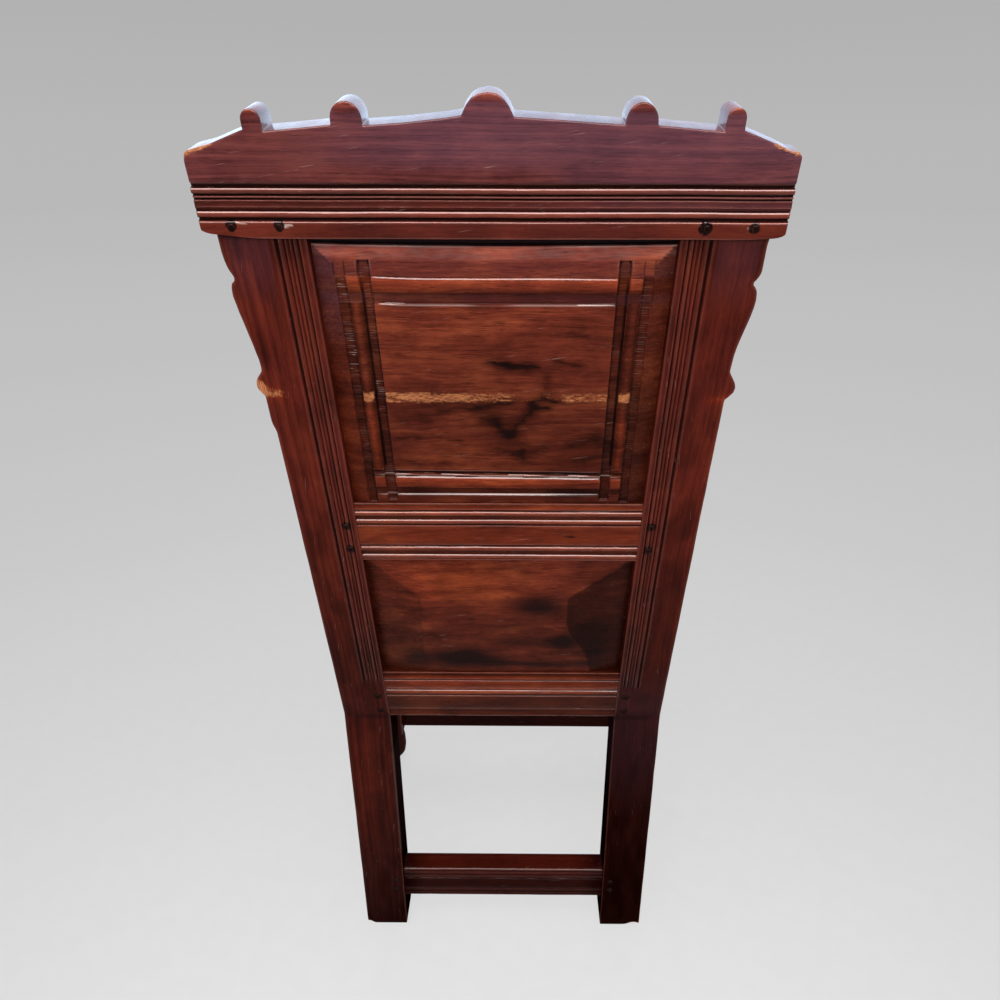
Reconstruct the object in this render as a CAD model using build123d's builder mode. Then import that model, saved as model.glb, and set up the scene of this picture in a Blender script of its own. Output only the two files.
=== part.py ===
from build123d import *
import os
from math import atan2, cos, radians, sin, tan

# A joined wainscot armchair: two raked rear posts carry a panelled back and a shaped crest,
# two turned front posts carry the arms, and rails and stretchers tie the four legs together.
# Every joint is a pegged mortise and tenon. Millimetres, +Z up, the sitter faces -Y and the
# sitter's left is +X. The origin is on the floor under the middle of the whole chair.

os.makedirs("parts", exist_ok=True)

# ---------------------------------------------------------------- driving dimensions: the back
opening_width = 320.0      # clear width between the rear posts
post_width = 65.0          # rear post, across the chair
leg_depth = 50.0           # rear post, front to back, at and below the seat
post_top_depth = 38.0      # rear post, front to back, under the crest
bend_height = 440.0        # floor to the bend in the rear posts
rake = 12.6                # lean of the back, in degrees
kick = 2.0                 # lean of the rear legs, in degrees
crest_underside = 673.0    # bend to crest, along the raked back
middle_rail_bottom = 297.0
middle_rail_height = 83.5
bottom_rail_bottom = -5.0
bottom_rail_height = 94.0
rail_thickness = 28.0
rail_setback = 1.5         # rear face of the rails behind the rear face of the posts
foot_chamfer = 4.0         # worn edges under the rear legs

# ---------------------------------------------------------------- driving dimensions: the crest
crest_overhang = 23.0         # crest beyond the outer faces of the posts
crest_band_height = 42.0   # moulded lower part, as deep as the posts
crest_band_proud = 3.0
crest_board_thickness = 30.0
crest_board_proud = 1.0
crest_corner_radius = 12.0
crest_end_height = 69.0
crest_shoulder_height = 84.5
crest_inner_height = 87.5  # top edge at the inner finials
crest_middle_height = 94.0
crest_lobe_height = 111.0
crest_lobe_half_width = 21.0
inner_finial = (115.75, 25.5, 103.0)    # distance from the middle, width, height
outer_finial = (188.5, 16.0, 98.0)
finial_root = 15.0         # how far a finial's outline runs down into the board
crest_quirks = (14.5, 17.5, 26.5, 32.5, 35.5)    # above the underside

# ---------------------------------------------------------------- driving dimensions: the seat
front_post_spacing = 488.0    # centre to centre
front_post_size = 58.0
frame_depth = 401.0           # rear face at the bend to the front face of the front posts
seat_rail_height = 85.0
seat_rail_thickness = 27.0
seat_board_thickness = 22.0
seat_board_overhang = 13.0
rear_board_share = 0.52       # share of the seat's depth that the rear board covers
stretcher_bottom = 65.0
stretcher_height = 59.0
front_stretcher_bottom = 74.0
front_stretcher_height = 50.0
rear_stretcher_thickness = 31.0
front_stretcher_thickness = 24.0
side_stretcher_thickness = 24.0
stretcher_setback = 6.0
side_setback = 2.0            # outer face of the side rails inside the outer face of the posts
seat_rail_setback = 3.0       # front face of the front rail behind the front face of the posts
lower_block_height = 55.0     # square blocks of the front posts
block_margin = 4.0            # upper block below the seat rails and above the seat

# ---------------------------------------------------------------- driving dimensions: the arms
arm_underside = 668.0
arm_thickness = 32.0
arm_rise = 14.0               # rear end above the front end
arm_rear_width = 44.0
arm_front_width = 60.0
arm_overhang = 34.0           # arm tip beyond the front face of the front posts
arm_rear_shift = 10.0         # rear end of the arm out from the middle of the post
arm_bow = 15.0                # outward curve of the arm halfway along
arm_dip = 2.0                 # hollow of the top of the arm
arm_tip_drop = 6.0

# ---------------------------------------------------------------- joints and their clearances
tenon_thickness = 10.0
tenon_setback = 12.0          # rear face of the post to the rear face of the back's tenons
tenon_cover = 29.0            # end of a tenon to the outer face of the rear post
tenon_shoulder = 11.0         # shoulder above and below a tenon
bottom_tenon_shoulder = 6.0   # the same under the bottom rail's tenons
side_tenon_length = 30.0      # side members into the rear legs
front_tenon_cover = 28.0      # the same cover in the front posts
post_tenon_height = 38.0      # rear post into the crest
post_tenon_inset = 12.0       # tenon inside the post's inner face
post_tenon_spread = 5.0       # tenon beyond the post's straight outer face
arm_tenon_width = 20.0
arm_tenon_height = 22.0
arm_tenon_length = 26.0
arm_tenon_shoulder = 5.0
tenon_root = 6.0              # how far a tenon is rooted in a slanted member
joint_gap = 0.2               # round every tenon
groove_setback = 13.0
groove_width = 8.5
groove_depth = 10.0
panel_face_gap = 0.25         # each face of a panel's tongue
panel_edge_gap = 1.5          # tongue short of the bottom of its groove
board_gap = 0.3               # round the seat boards
peg_diameter = 7.0
peg_gap = 0.15                # round every peg
peg_length = 34.0
peg_cover = 24.0              # end of a peg to the far face of a front post
peg_proud = 0.6
peg_inset = 12.0              # shoulder of a joint to its pegs
peg_pair_half = 17.0          # half the distance between the pegs of a seat rail
low_pair_half = 8.5           # the same in the side and front stretchers
middle_peg_heights = (18.0, 52.5)      # above the bottom of the rail
bottom_peg_heights = (14.0, 46.0)
stretcher_peg_heights = (20.0, 39.0)
crest_peg_height = 9.0
crest_peg_insets = (20.5, 61.0)        # out from the post's inner face
arm_peg_height = 11.0
seat_peg_inset = 28.0         # end of a seat board to its pegs
seat_front_peg_x = 100.0

# ---------------------------------------------------------------- panels
panel_bevel = 16.0
panel_field_setback = 6.5     # raised field behind the rear face of the posts
lower_bevel = 52.0
front_bevel = 24.0
panel_front = 27.0            # raised front field, measured from the rear face of the posts
track_width = 10.0
track_depth = 2.0
track_side_offsets = (17.5, 38.5)      # in from the posts
track_top_offsets = (21.0, 48.5)       # down from the crest
track_bottom_offsets = (14.0, 37.5)    # up from the middle rail
quirk_width = 2.4
quirk_depth = 1.6
post_quirks = (7.5, 11.8, 20.2, 27.0)   # in from the post's inner face
post_quirk_foot = 62.0
middle_quirks = (5.5, 11.0, 18.0, 24.5, 53.0, 59.0, 66.5, 74.0)     # above the rail's bottom edge
bottom_quirks = (7.0, 14.0, 20.8, 48.0, 56.0, 67.0, 84.0)
rear_stretcher_quirks = (6.0, 14.0, 42.0, 52.0)
front_rail_quirks = (8.0, 16.0, 68.0, 77.0)
front_stretcher_quirks = (7.0, 14.0, 36.0, 43.0)
track_overrun_side = 4.0      # gouged tracks run past the edges of the field
track_overrun_top = 4.0
track_overrun_bottom = 8.0

# ---------------------------------------------------------------- derived places
lean = radians(rake)
splay = radians(kick)
half_opening = opening_width / 2
post_outer = half_opening + post_width
tenon_length = post_width - tenon_cover
front_tenon_length = front_post_size - front_tenon_cover
post_peg_length = front_post_size - peg_cover
crest_length = 2 * (post_outer + crest_overhang)
crest_top = crest_underside + crest_lobe_height
rear_reach = crest_top * sin(lean) + crest_board_proud * cos(lean)
front_reach = frame_depth + arm_overhang
bend_y = (front_reach - rear_reach) / 2
foot_rear_y = bend_y + bend_height * tan(splay)
front_post_x = front_post_spacing / 2
front_face_y = bend_y - frame_depth
front_post_y = front_face_y + front_post_size / 2
front_post_rear_y = front_face_y + front_post_size
front_post_inner = front_post_x - front_post_size / 2
front_post_outer = front_post_x + front_post_size / 2
middle_rail_top = middle_rail_bottom + middle_rail_height
bottom_rail_top = bottom_rail_bottom + bottom_rail_height
rail_front = rail_setback + rail_thickness
seat_rail_bottom = bend_height - seat_rail_height
seat_top = bend_height + seat_board_thickness
groove_front = groove_setback + groove_width
tenon_front = tenon_setback + tenon_thickness

# Planes of the back and of the rear legs: x across the chair, y up, z from the rear face inwards.
back = Plane(origin=(0, bend_y, bend_height), x_dir=(1, 0, 0), z_dir=(0, -cos(lean), sin(lean)))
leg = Plane(origin=(0, bend_y, bend_height), x_dir=(1, 0, 0), z_dir=(0, -cos(splay), -sin(splay)))

# The front faces of a rear post meet at the bend.
bend_reach = leg_depth / cos((lean + splay) / 2)
bend_turn = (lean - splay) / 2
bend_front_y = bend_y - bend_reach * cos(bend_turn)
bend_front_z = bend_height + bend_reach * sin(bend_turn)
foot_front_y = foot_rear_y - leg_depth / cos(splay)
top_front = back.from_local_coords(Vector(0, crest_underside, post_top_depth))
leg_front = Plane(origin=(0, foot_front_y, 0), x_dir=(1, 0, 0), z_dir=(0, -cos(splay), -sin(splay)))
front_lean = atan2(top_front.Y - bend_front_y, top_front.Z - bend_front_z)
post_front = Plane(
    origin=(0, bend_front_y, bend_front_z),
    x_dir=(1, 0, 0),
    z_dir=(0, -cos(front_lean), sin(front_lean)),
)


def leg_front_at(height):
    """How far back the front face of a rear leg lies at a height above the floor."""
    return foot_front_y - height * tan(splay)


def post_front_at(height):
    """How far back the front face of a raked post lies at a height above the floor."""
    return bend_front_y + (height - bend_front_z) * tan(front_lean)


# ---------------------------------------------------------------- helpers
def block(limits, grow=0.0, mode=Mode.ADD):
    """A square block: its plane, then its lowest and highest x, y and z in that plane."""
    plane, (x0, x1), (y0, y1), (z0, z1) = limits
    with BuildSketch(plane.offset(z0 - grow)) as outline:
        with Locations(((x0 + x1) / 2, (y0 + y1) / 2)):
            Rectangle(x1 - x0 + 2 * grow, y1 - y0 + 2 * grow)
    extrude(outline.sketch, amount=z1 - z0 + 2 * grow, mode=mode)


def mortise(limits):
    """The pocket for a tenon, larger all round by the joint's clearance."""
    block(limits, grow=joint_gap, mode=Mode.SUBTRACT)


def peg_reach(direction):
    """How deep a peg goes: those that cross in a front post stop short of each other."""
    return post_peg_length if direction in (inwards_side, inwards_front) else peg_length


def drive_pegs(places):
    """Round pegs, each driven in at a point of a face, along a direction."""
    for point, direction in places:
        with BuildSketch(Plane(origin=point - direction * peg_proud, z_dir=direction)) as end:
            Circle(peg_diameter / 2)
        extrude(end.sketch, amount=peg_reach(direction) + peg_proud)


def bore_pegs(places):
    """The bored holes for the same pegs."""
    for point, direction in places:
        with BuildSketch(Plane(origin=point - direction, z_dir=direction)) as mouth:
            Circle(peg_diameter / 2 + peg_gap)
        extrude(mouth.sketch, amount=peg_reach(direction) + 1 + peg_gap, mode=Mode.SUBTRACT)


def quirk(plane, x0, x1, height):
    """A shallow V-shaped groove along x, cut inwards from a plane, as left beside a run bead."""
    start = Plane(
        origin=plane.from_local_coords(Vector(x0, height, 0)), x_dir=plane.y_dir, z_dir=plane.x_dir
    )
    with BuildSketch(start) as vee:
        with BuildLine():
            Polyline((-quirk_width / 2, -1), (quirk_width / 2, -1), (0, quirk_depth), close=True)
        make_face()
    extrude(vee.sketch, amount=x1 - x0, mode=Mode.SUBTRACT)


def write(name, piece):
    """Label a finished piece and write it."""
    piece.label = name
    export_step(piece, f"parts/{name}.step")


def write_pair(name, left):
    """Write the sitter's left piece and its mirror image on the right."""
    write(f"{name}_left", left)
    write(f"{name}_right", mirror(left, about=Plane.YZ))


# ---------------------------------------------------------------- tenons on the sitter's left
def rail_tenon(plane, bottom, top):
    """The tenon on the end of a rail of the back or of the rear stretcher."""
    across = (half_opening - 1, half_opening + tenon_length)
    return plane, across, (bottom, top), (tenon_setback, tenon_front)


def up_leg(height):
    """A height above the floor, measured up the rear leg from the bend."""
    return (height - bend_height) / cos(splay)


middle_tenon = rail_tenon(
    back, middle_rail_bottom + tenon_shoulder, middle_rail_top - tenon_shoulder
)
bottom_tenon = rail_tenon(
    back, bottom_rail_bottom + bottom_tenon_shoulder, bottom_rail_top - tenon_shoulder
)
rear_stretcher_tenon = rail_tenon(
    leg,
    up_leg(stretcher_bottom + tenon_shoulder),
    up_leg(stretcher_bottom + stretcher_height - tenon_shoulder),
)
crest_tenon = (
    back,
    (half_opening + post_tenon_inset, post_outer + post_tenon_spread),
    (crest_underside - 1, crest_underside + post_tenon_height),
    (tenon_setback, tenon_front),
)

# The side rails and side stretchers spread from the rear legs to the front posts.
side_run = leg_front_at(seat_rail_bottom) - front_post_rear_y
side_rear_x = post_outer - side_setback
side_front_x = front_post_outer - side_setback
side_angle = atan2(side_front_x - side_rear_x, side_run)


def side_centre(thickness, at_front):
    """Middle of a side member across the chair, at its rear or front shoulder."""
    outer = side_front_x if at_front else side_rear_x
    return outer - thickness / 2 / cos(side_angle)


def side_tenons(thickness, bottom, top):
    """The rear and front tenons of a side member, square to the posts."""
    up = (bottom + tenon_shoulder, top - tenon_shoulder)
    rear_x = side_centre(thickness, at_front=False)
    front_x = side_centre(thickness, at_front=True)
    half = tenon_thickness / 2
    rear_y = leg_front_at((bottom + top) / 2)
    rear_run = (rear_y - tenon_root, rear_y + side_tenon_length)
    front_run = (front_post_rear_y - front_tenon_length, front_post_rear_y + tenon_root)
    rear = (Plane.XY, (rear_x - half, rear_x + half), rear_run, up)
    front = (Plane.XY, (front_x - half, front_x + half), front_run, up)
    return rear, front


side_rail_tenons = side_tenons(seat_rail_thickness, seat_rail_bottom, bend_height)
side_stretcher_tenons = side_tenons(
    side_stretcher_thickness, stretcher_bottom, stretcher_bottom + stretcher_height
)


def front_tenon(bottom, top, middle_y):
    """The tenon of the front rail or front stretcher, along x."""
    across = (front_post_inner - 1, front_post_inner + front_tenon_length)
    through = (middle_y - tenon_thickness / 2, middle_y + tenon_thickness / 2)
    return Plane.XY, across, through, (bottom + tenon_shoulder, top - tenon_shoulder)


front_rail_y = front_face_y + seat_rail_setback + seat_rail_thickness / 2
front_stretcher_y = front_face_y + stretcher_setback + front_stretcher_thickness / 2
front_rail_tenon = front_tenon(seat_rail_bottom, bend_height, front_rail_y)
front_stretcher_top = front_stretcher_bottom + front_stretcher_height
front_stretcher_tenon = front_tenon(front_stretcher_bottom, front_stretcher_top, front_stretcher_y)

arm_rear_x = (half_opening + post_outer) / 2 + arm_rear_shift
arm_rear_underside = arm_underside + arm_rise
arm_rear_y = post_front_at(arm_rear_underside + arm_thickness / 2)
arm_tenon_bottom = arm_rear_underside + arm_tenon_shoulder
arm_tenon = (
    Plane.XY,
    (arm_rear_x - arm_tenon_width / 2, arm_rear_x + arm_tenon_width / 2),
    (arm_rear_y - 2 * tenon_root, arm_rear_y + arm_tenon_length),
    (arm_tenon_bottom, arm_tenon_bottom + arm_tenon_height),
)
front_post_tenon = (
    Plane.XY,
    (front_post_x - arm_tenon_width / 2, front_post_x + arm_tenon_width / 2),
    (front_post_y - arm_tenon_width / 2, front_post_y + arm_tenon_width / 2),
    (arm_underside - 1, arm_underside + arm_tenon_height),
)

# ---------------------------------------------------------------- pegs on the sitter's left
inwards_back = Vector(0, -cos(lean), sin(lean))
inwards_leg = Vector(0, -cos(splay), -sin(splay))
inwards_side = Vector(-1, 0, 0)
inwards_front = Vector(0, 1, 0)
peg_x = half_opening + peg_inset
crest_band_face = back.offset(-crest_band_proud)


def face_pegs(plane, inwards, x, heights):
    """Pegs driven in one above the other, from a face of the back or of a rear leg."""
    return [(plane.from_local_coords(Vector(x, up, 0)), inwards) for up in heights]


def side_pegs(x, y, middle_z, half):
    """Two pegs driven in from the outer face of a post."""
    return [(Vector(x, y, middle_z + step), inwards_side) for step in (-half, half)]


def front_pegs(middle_z, half):
    """Two pegs driven in from the front face of a front post."""
    x = front_post_inner + peg_inset
    return [(Vector(x, front_face_y, middle_z + step), inwards_front) for step in (-half, half)]


def both_end_pegs(middle_z, half):
    """The pegs at the rear end, then at the front end, of a side member."""
    rear = side_pegs(post_outer, leg_front_at(middle_z) + peg_inset, middle_z, half)
    return rear + side_pegs(front_post_outer, front_post_rear_y - peg_inset, middle_z, half)


middle_pegs = face_pegs(
    back, inwards_back, peg_x, [middle_rail_bottom + up for up in middle_peg_heights]
)
bottom_pegs = face_pegs(
    back, inwards_back, peg_x, [bottom_rail_bottom + up for up in bottom_peg_heights]
)
crest_pegs = []
for inset in crest_peg_insets:
    crest_pegs += face_pegs(
        crest_band_face, inwards_back, half_opening + inset, [crest_underside + crest_peg_height]
    )
rear_stretcher_pegs = face_pegs(
    leg, inwards_leg, peg_x, [up_leg(stretcher_bottom + up) for up in stretcher_peg_heights]
)
seat_rail_middle = (seat_rail_bottom + bend_height) / 2
side_rail_pegs = both_end_pegs(seat_rail_middle, peg_pair_half)
side_stretcher_pegs = both_end_pegs(stretcher_bottom + stretcher_height / 2, low_pair_half)
front_rail_pegs = front_pegs(seat_rail_middle, peg_pair_half)
front_stretcher_pegs = front_pegs(front_stretcher_bottom + front_stretcher_height / 2, low_pair_half)
arm_outer_x = front_post_x + arm_front_width / 2
arm_pegs = [
    (Vector(post_outer, arm_rear_y + peg_inset, arm_tenon_bottom + arm_tenon_height / 2), inwards_side),
    (Vector(arm_outer_x, front_post_y, arm_underside + arm_peg_height), inwards_side),
]

seat_front_y = front_face_y - seat_board_overhang
seat_split_y = seat_front_y + (bend_y - seat_front_y) * (1 - rear_board_share)
notch_y = bend_front_y - board_gap


def seat_peg(y):
    """A peg down through the seat into the middle of the side rail."""
    run = leg_front_at(seat_rail_bottom) - y
    x = side_centre(seat_rail_thickness, at_front=False) + run * tan(side_angle)
    return Vector(x, y, seat_top), Vector(0, 0, -1)


front_board_pegs = [
    (Vector(seat_front_peg_x, front_rail_y, seat_top), Vector(0, 0, -1)),
    seat_peg(front_post_rear_y + seat_peg_inset),
]
rear_board_pegs = [seat_peg(seat_split_y + seat_peg_inset), seat_peg(notch_y - seat_peg_inset)]
side_rail_seat_pegs = front_board_pegs[1:] + rear_board_pegs

# ---------------------------------------------------------------- rear posts
# The shaped outer edge, from the crest down: a lobe, a notch, a long hollow and a small nub.
# Each point is its distance out from the straight edge and its distance below the crest.
upper_lobe = ((11.0, 0.0), (11.0, 20.0), (9.5, 29.0), (4.6, 41.5))
hollow = ((9.8, 45.5), (10.4, 55.0), (7.4, 75.0), (4.2, 95.0), (1.6, 113.0), (0.8, 126.5))
nub = ((0.8, 126.5), (5.0, 132.0), (8.6, 146.0), (6.4, 154.5), (2.0, 160.0))
scroll_foot = 195.0


def scroll_points(places):
    """Points of the shaped edge, in the plane of the back."""
    return [(post_outer + out, crest_underside - down) for out, down in places]


with BuildPart() as rear_post:
    with BuildSketch(Plane.YZ.offset(half_opening)):
        with BuildLine():
            top_rear = back.from_local_coords(Vector(0, crest_underside, 0))
            Polyline(
                (foot_rear_y, 0),
                (bend_y, bend_height),
                (top_rear.Y, top_rear.Z),
                (top_front.Y, top_front.Z),
                (bend_front_y, bend_front_z),
                (foot_front_y, 0),
                close=True,
            )
        make_face()
    extrude(amount=post_width)
    # The scrolled outer edge is sawn from the same plank.
    with BuildSketch(back) as scroll_edge:
        with BuildLine():
            lobe_edge = Polyline(*scroll_points(upper_lobe[:2]))
            notch_edge = Spline(*scroll_points(upper_lobe[1:]))
            step = Line(notch_edge @ 1, scroll_points(hollow[:1])[0])
            hollow_edge = Spline(*scroll_points(hollow))
            nub_edge = Spline(*scroll_points(nub))
            tail = (post_outer, crest_underside - scroll_foot)
            inside = (post_outer + half_opening) / 2
            Polyline(nub_edge @ 1, tail, (inside, tail[1]), (inside, crest_underside), lobe_edge @ 0)
        make_face()
    extrude(scroll_edge.sketch, amount=leg_depth)
    split(bisect_by=post_front, keep=Keep.BOTTOM)
    chamfer(rear_post.faces().sort_by(Axis.Z)[0].edges(), length=foot_chamfer)
    block(crest_tenon)
    # The groove for the panels, and the mortises.
    block(
        (back, (half_opening - 1, half_opening + groove_depth),
         (bottom_rail_top - tenon_shoulder, crest_underside), (groove_setback, groove_front)),
        mode=Mode.SUBTRACT,
    )
    for joint in (middle_tenon, bottom_tenon, rear_stretcher_tenon, arm_tenon):
        mortise(joint)
    mortise(side_rail_tenons[0])
    mortise(side_stretcher_tenons[0])
    # Run mouldings beside the panels.
    upright = Plane(origin=back.origin, x_dir=back.y_dir, z_dir=back.z_dir)
    for inset in post_quirks:
        quirk(upright, post_quirk_foot, crest_underside, -(half_opening + inset))
    for places in (middle_pegs, bottom_pegs, crest_pegs, rear_stretcher_pegs):
        bore_pegs(places)
    bore_pegs(side_rail_pegs[:2] + side_stretcher_pegs[:2] + arm_pegs[:1])
write_pair("rear_post", rear_post.part)


# ---------------------------------------------------------------- rails of the back
def back_rail(bottom, top, tenon, pegs, grooved_edges, quirks):
    """A moulded rail between the rear posts, with the sitter's left half mirrored."""
    with BuildPart() as rail:
        across = (0, half_opening)
        block((back, across, (bottom, top), (rail_setback, rail_front)))
        block(tenon)
        for edge in grooved_edges:
            block(
                (back, (-1, half_opening + 1), (edge - groove_depth, edge + groove_depth),
                 (groove_setback, groove_front)),
                mode=Mode.SUBTRACT,
            )
        for height in quirks:
            quirk(back.offset(rail_setback), -1, half_opening + 1, bottom + height)
        bore_pegs(pegs)
        mirror(about=Plane.YZ)
    return rail.part


write(
    "middle_rail",
    back_rail(middle_rail_bottom, middle_rail_top, middle_tenon, middle_pegs,
              (middle_rail_bottom, middle_rail_top), middle_quirks),
)
write(
    "bottom_rail",
    back_rail(bottom_rail_bottom, bottom_rail_top, bottom_tenon, bottom_pegs,
              (bottom_rail_top,), bottom_quirks),
)


# ---------------------------------------------------------------- crest rail
def finial_outline(place):
    """Half of the outline of a sawn finial: a round-topped lobe standing on the crest."""
    middle, width, height = place
    radius = width / 2
    with Locations((middle, crest_underside + height - radius)):
        Circle(radius)
    base = crest_underside + crest_shoulder_height - finial_root
    straight = crest_underside + height - radius - base
    with Locations((middle, base + straight / 2)):
        Rectangle(width, straight)


with BuildPart() as crest_rail:
    with BuildSketch(back.offset(-crest_board_proud)) as board:
        with BuildLine():
            half = crest_length / 2
            outer_edge = outer_finial[0] + outer_finial[1] / 2
            Polyline(
                (0, crest_underside + crest_band_height / 2),
                (half, crest_underside + crest_band_height / 2),
                (half, crest_underside + crest_end_height),
                (outer_edge, crest_underside + crest_shoulder_height),
                (outer_finial[0], crest_underside + crest_shoulder_height),
                (inner_finial[0], crest_underside + crest_inner_height),
                (crest_lobe_half_width, crest_underside + crest_middle_height),
                (0, crest_underside + crest_middle_height),
                close=True,
            )
        make_face()
        finial_outline(inner_finial)
        finial_outline(outer_finial)
        with BuildLine():
            lobe_foot = crest_underside + crest_middle_height - 2
            lobe_arc = EllipticalCenterArc(
                (0, lobe_foot), crest_lobe_half_width, crest_top - lobe_foot, arc_size=90
            )
            Polyline(lobe_arc @ 1, (0, lobe_foot), lobe_arc @ 0)
        make_face()
        mirror(about=Plane.YZ)
    extrude(board.sketch, amount=crest_board_thickness)
    with BuildSketch(crest_band_face) as band:
        with Locations((0, crest_underside + crest_band_height / 2)):
            Rectangle(crest_length, crest_band_height)
        fillet(band.vertices().group_by(Axis.Y)[0], radius=crest_corner_radius)
    extrude(band.sketch, amount=crest_band_proud + post_top_depth)
    for height in crest_quirks:
        quirk(crest_band_face, -crest_length, crest_length, crest_underside + height)
    reach = half_opening + groove_depth - 1
    block(
        (back, (-reach, reach), (crest_underside - 1, crest_underside + groove_depth),
         (groove_setback, groove_front)),
        mode=Mode.SUBTRACT,
    )
    for turn in (1, -1):
        plane, across, up, through = crest_tenon
        mortise((plane, sorted(turn * x for x in across), up, through))
        bore_pegs([(Vector(turn * at.X, at.Y, at.Z), towards) for at, towards in crest_pegs])
write("crest_rail", crest_rail.part)


# ---------------------------------------------------------------- panels of the back
def panel(bottom, top, bevel):
    """A fielded panel: tongues in the grooves all round, and a raised field on both faces."""
    middle = (bottom + top) / 2
    tongue = groove_depth - panel_edge_gap
    with BuildPart() as board:
        block(
            (back, (-half_opening - tongue, half_opening + tongue), (bottom - tongue, top + tongue),
             (groove_setback + panel_face_gap, groove_front - panel_face_gap))
        )
        rear_field = (groove_setback + panel_face_gap, panel_field_setback, bevel)
        front_field = (groove_front - panel_face_gap, panel_front, front_bevel)
        for start, face, border in (rear_field, front_field):
            with BuildSketch(back.offset(start)):
                with Locations((0, middle)):
                    Rectangle(opening_width - 1, top - bottom - 1)
            with BuildSketch(back.offset(face)):
                with Locations((0, middle)):
                    Rectangle(opening_width - 2 * border, top - bottom - 2 * border)
            loft()
    return board.part


with BuildPart() as upper_panel:
    add(panel(middle_rail_top, crest_underside, panel_bevel))
    face = panel_field_setback
    depth = (face - 1, face + track_depth)
    run = half_opening - panel_bevel + track_overrun_side
    full_width = (-run, run)
    full_height = (
        middle_rail_top + panel_bevel - track_overrun_bottom,
        crest_underside - panel_bevel + track_overrun_top,
    )
    for offset in track_side_offsets:
        for turn in (1, -1):
            edges = sorted(turn * (half_opening - offset - step) for step in (0, track_width))
            block((back, edges, full_height, depth), mode=Mode.SUBTRACT)
    for offset in track_top_offsets:
        top = crest_underside - offset
        block((back, full_width, (top - track_width, top), depth), mode=Mode.SUBTRACT)
    for offset in track_bottom_offsets:
        bottom = middle_rail_top + offset
        block((back, full_width, (bottom, bottom + track_width), depth), mode=Mode.SUBTRACT)
write("upper_panel", upper_panel.part)
write("lower_panel", panel(bottom_rail_top, middle_rail_bottom, lower_bevel))


# ---------------------------------------------------------------- rear stretcher
stretcher_up = (up_leg(stretcher_bottom), up_leg(stretcher_bottom + stretcher_height))
with BuildPart() as rear_stretcher:
    through = (stretcher_setback, stretcher_setback + rear_stretcher_thickness)
    block((leg, (0, half_opening), stretcher_up, through))
    block(rear_stretcher_tenon)
    for height in rear_stretcher_quirks:
        quirk(leg.offset(stretcher_setback), -1, half_opening + 1, stretcher_up[0] + height)
    bore_pegs(rear_stretcher_pegs)
    mirror(about=Plane.YZ)
write("rear_stretcher", rear_stretcher.part)


# ---------------------------------------------------------------- side rails and side stretchers
def side_member(thickness, bottom, top, tenons, pegs):
    """A rail that spreads from a rear leg to a front post, cut to both of their faces."""
    run_out = 20.0
    spread = run_out * tan(side_angle)
    inner = thickness / cos(side_angle)
    rear_y = leg_front_at(seat_rail_bottom) + run_out
    front_y = front_post_rear_y - run_out
    with BuildPart() as member:
        with BuildSketch(Plane.XY.offset(bottom)):
            with BuildLine():
                Polyline(
                    (side_rear_x - spread, rear_y),
                    (side_front_x + spread, front_y),
                    (side_front_x + spread - inner, front_y),
                    (side_rear_x - spread - inner, rear_y),
                    close=True,
                )
            make_face()
        extrude(amount=top - bottom)
        split(bisect_by=leg_front, keep=Keep.TOP)
        split(bisect_by=Plane(origin=(0, front_post_rear_y, 0), z_dir=(0, 1, 0)), keep=Keep.TOP)
        for tenon in tenons:
            block(tenon)
        bore_pegs(pegs)
    return member.part


write_pair(
    "side_seat_rail",
    side_member(seat_rail_thickness, seat_rail_bottom, bend_height, side_rail_tenons,
                side_rail_pegs + side_rail_seat_pegs),
)
write_pair(
    "side_stretcher",
    side_member(side_stretcher_thickness, stretcher_bottom, stretcher_bottom + stretcher_height,
                side_stretcher_tenons, side_stretcher_pegs),
)


# ---------------------------------------------------------------- front rail and front stretcher
def front_member(middle_y, thickness, bottom, top, tenon, pegs, quirks):
    """A straight rail between the front posts."""
    half = thickness / 2
    with BuildPart() as member:
        block((Plane.XY, (0, front_post_inner), (middle_y - half, middle_y + half), (bottom, top)))
        block(tenon)
        front = Plane(origin=(0, middle_y - half, 0), x_dir=(-1, 0, 0), z_dir=(0, 1, 0))
        for height in quirks:
            quirk(front, -front_post_inner - 1, 1, bottom + height)
        bore_pegs(pegs)
        mirror(about=Plane.YZ)
    return member.part


write(
    "front_seat_rail",
    front_member(front_rail_y, seat_rail_thickness, seat_rail_bottom, bend_height,
                 front_rail_tenon, front_rail_pegs + front_board_pegs[:1], front_rail_quirks),
)
write(
    "front_stretcher",
    front_member(front_stretcher_y, front_stretcher_thickness, front_stretcher_bottom,
                 front_stretcher_top, front_stretcher_tenon, front_stretcher_pegs,
                 front_stretcher_quirks),
)

# ---------------------------------------------------------------- front posts
post_turning = (            # cut below the flats of the blocks, and height above the lower block
    (8.0, 0.0), (8.0, 5.0), (3.0, 9.0), (3.0, 15.0), (10.0, 19.0), (12.0, 26.0), (7.0, 60.0),
    (4.0, 110.0), (6.0, 160.0), (11.0, 188.0), (12.0, 196.0), (5.0, 201.0), (3.0, 207.0),
    (5.0, 213.0), (9.0, 218.0), (9.0, 228.0),
)
arm_turning = (             # the same for the arm support, from the seat block up
    (9.0, 0.0), (9.0, 5.0), (4.0, 9.0), (4.0, 15.0), (11.0, 20.0), (13.0, 28.0), (7.0, 60.0),
    (4.0, 90.0), (7.0, 122.0), (12.0, 150.0), (13.0, 158.0), (6.0, 163.0), (4.0, 169.0),
    (6.0, 175.0), (10.0, 180.0), (5.0, 190.0), (5.0, 198.0),
)
foot_turning = (
    (9.0, 0.0), (3.0, 8.0), (0.5, 24.0), (1.0, 44.0), (3.5, 62.0), (3.5, 74.0),
)
lower_block_top = front_stretcher_bottom + lower_block_height
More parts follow.
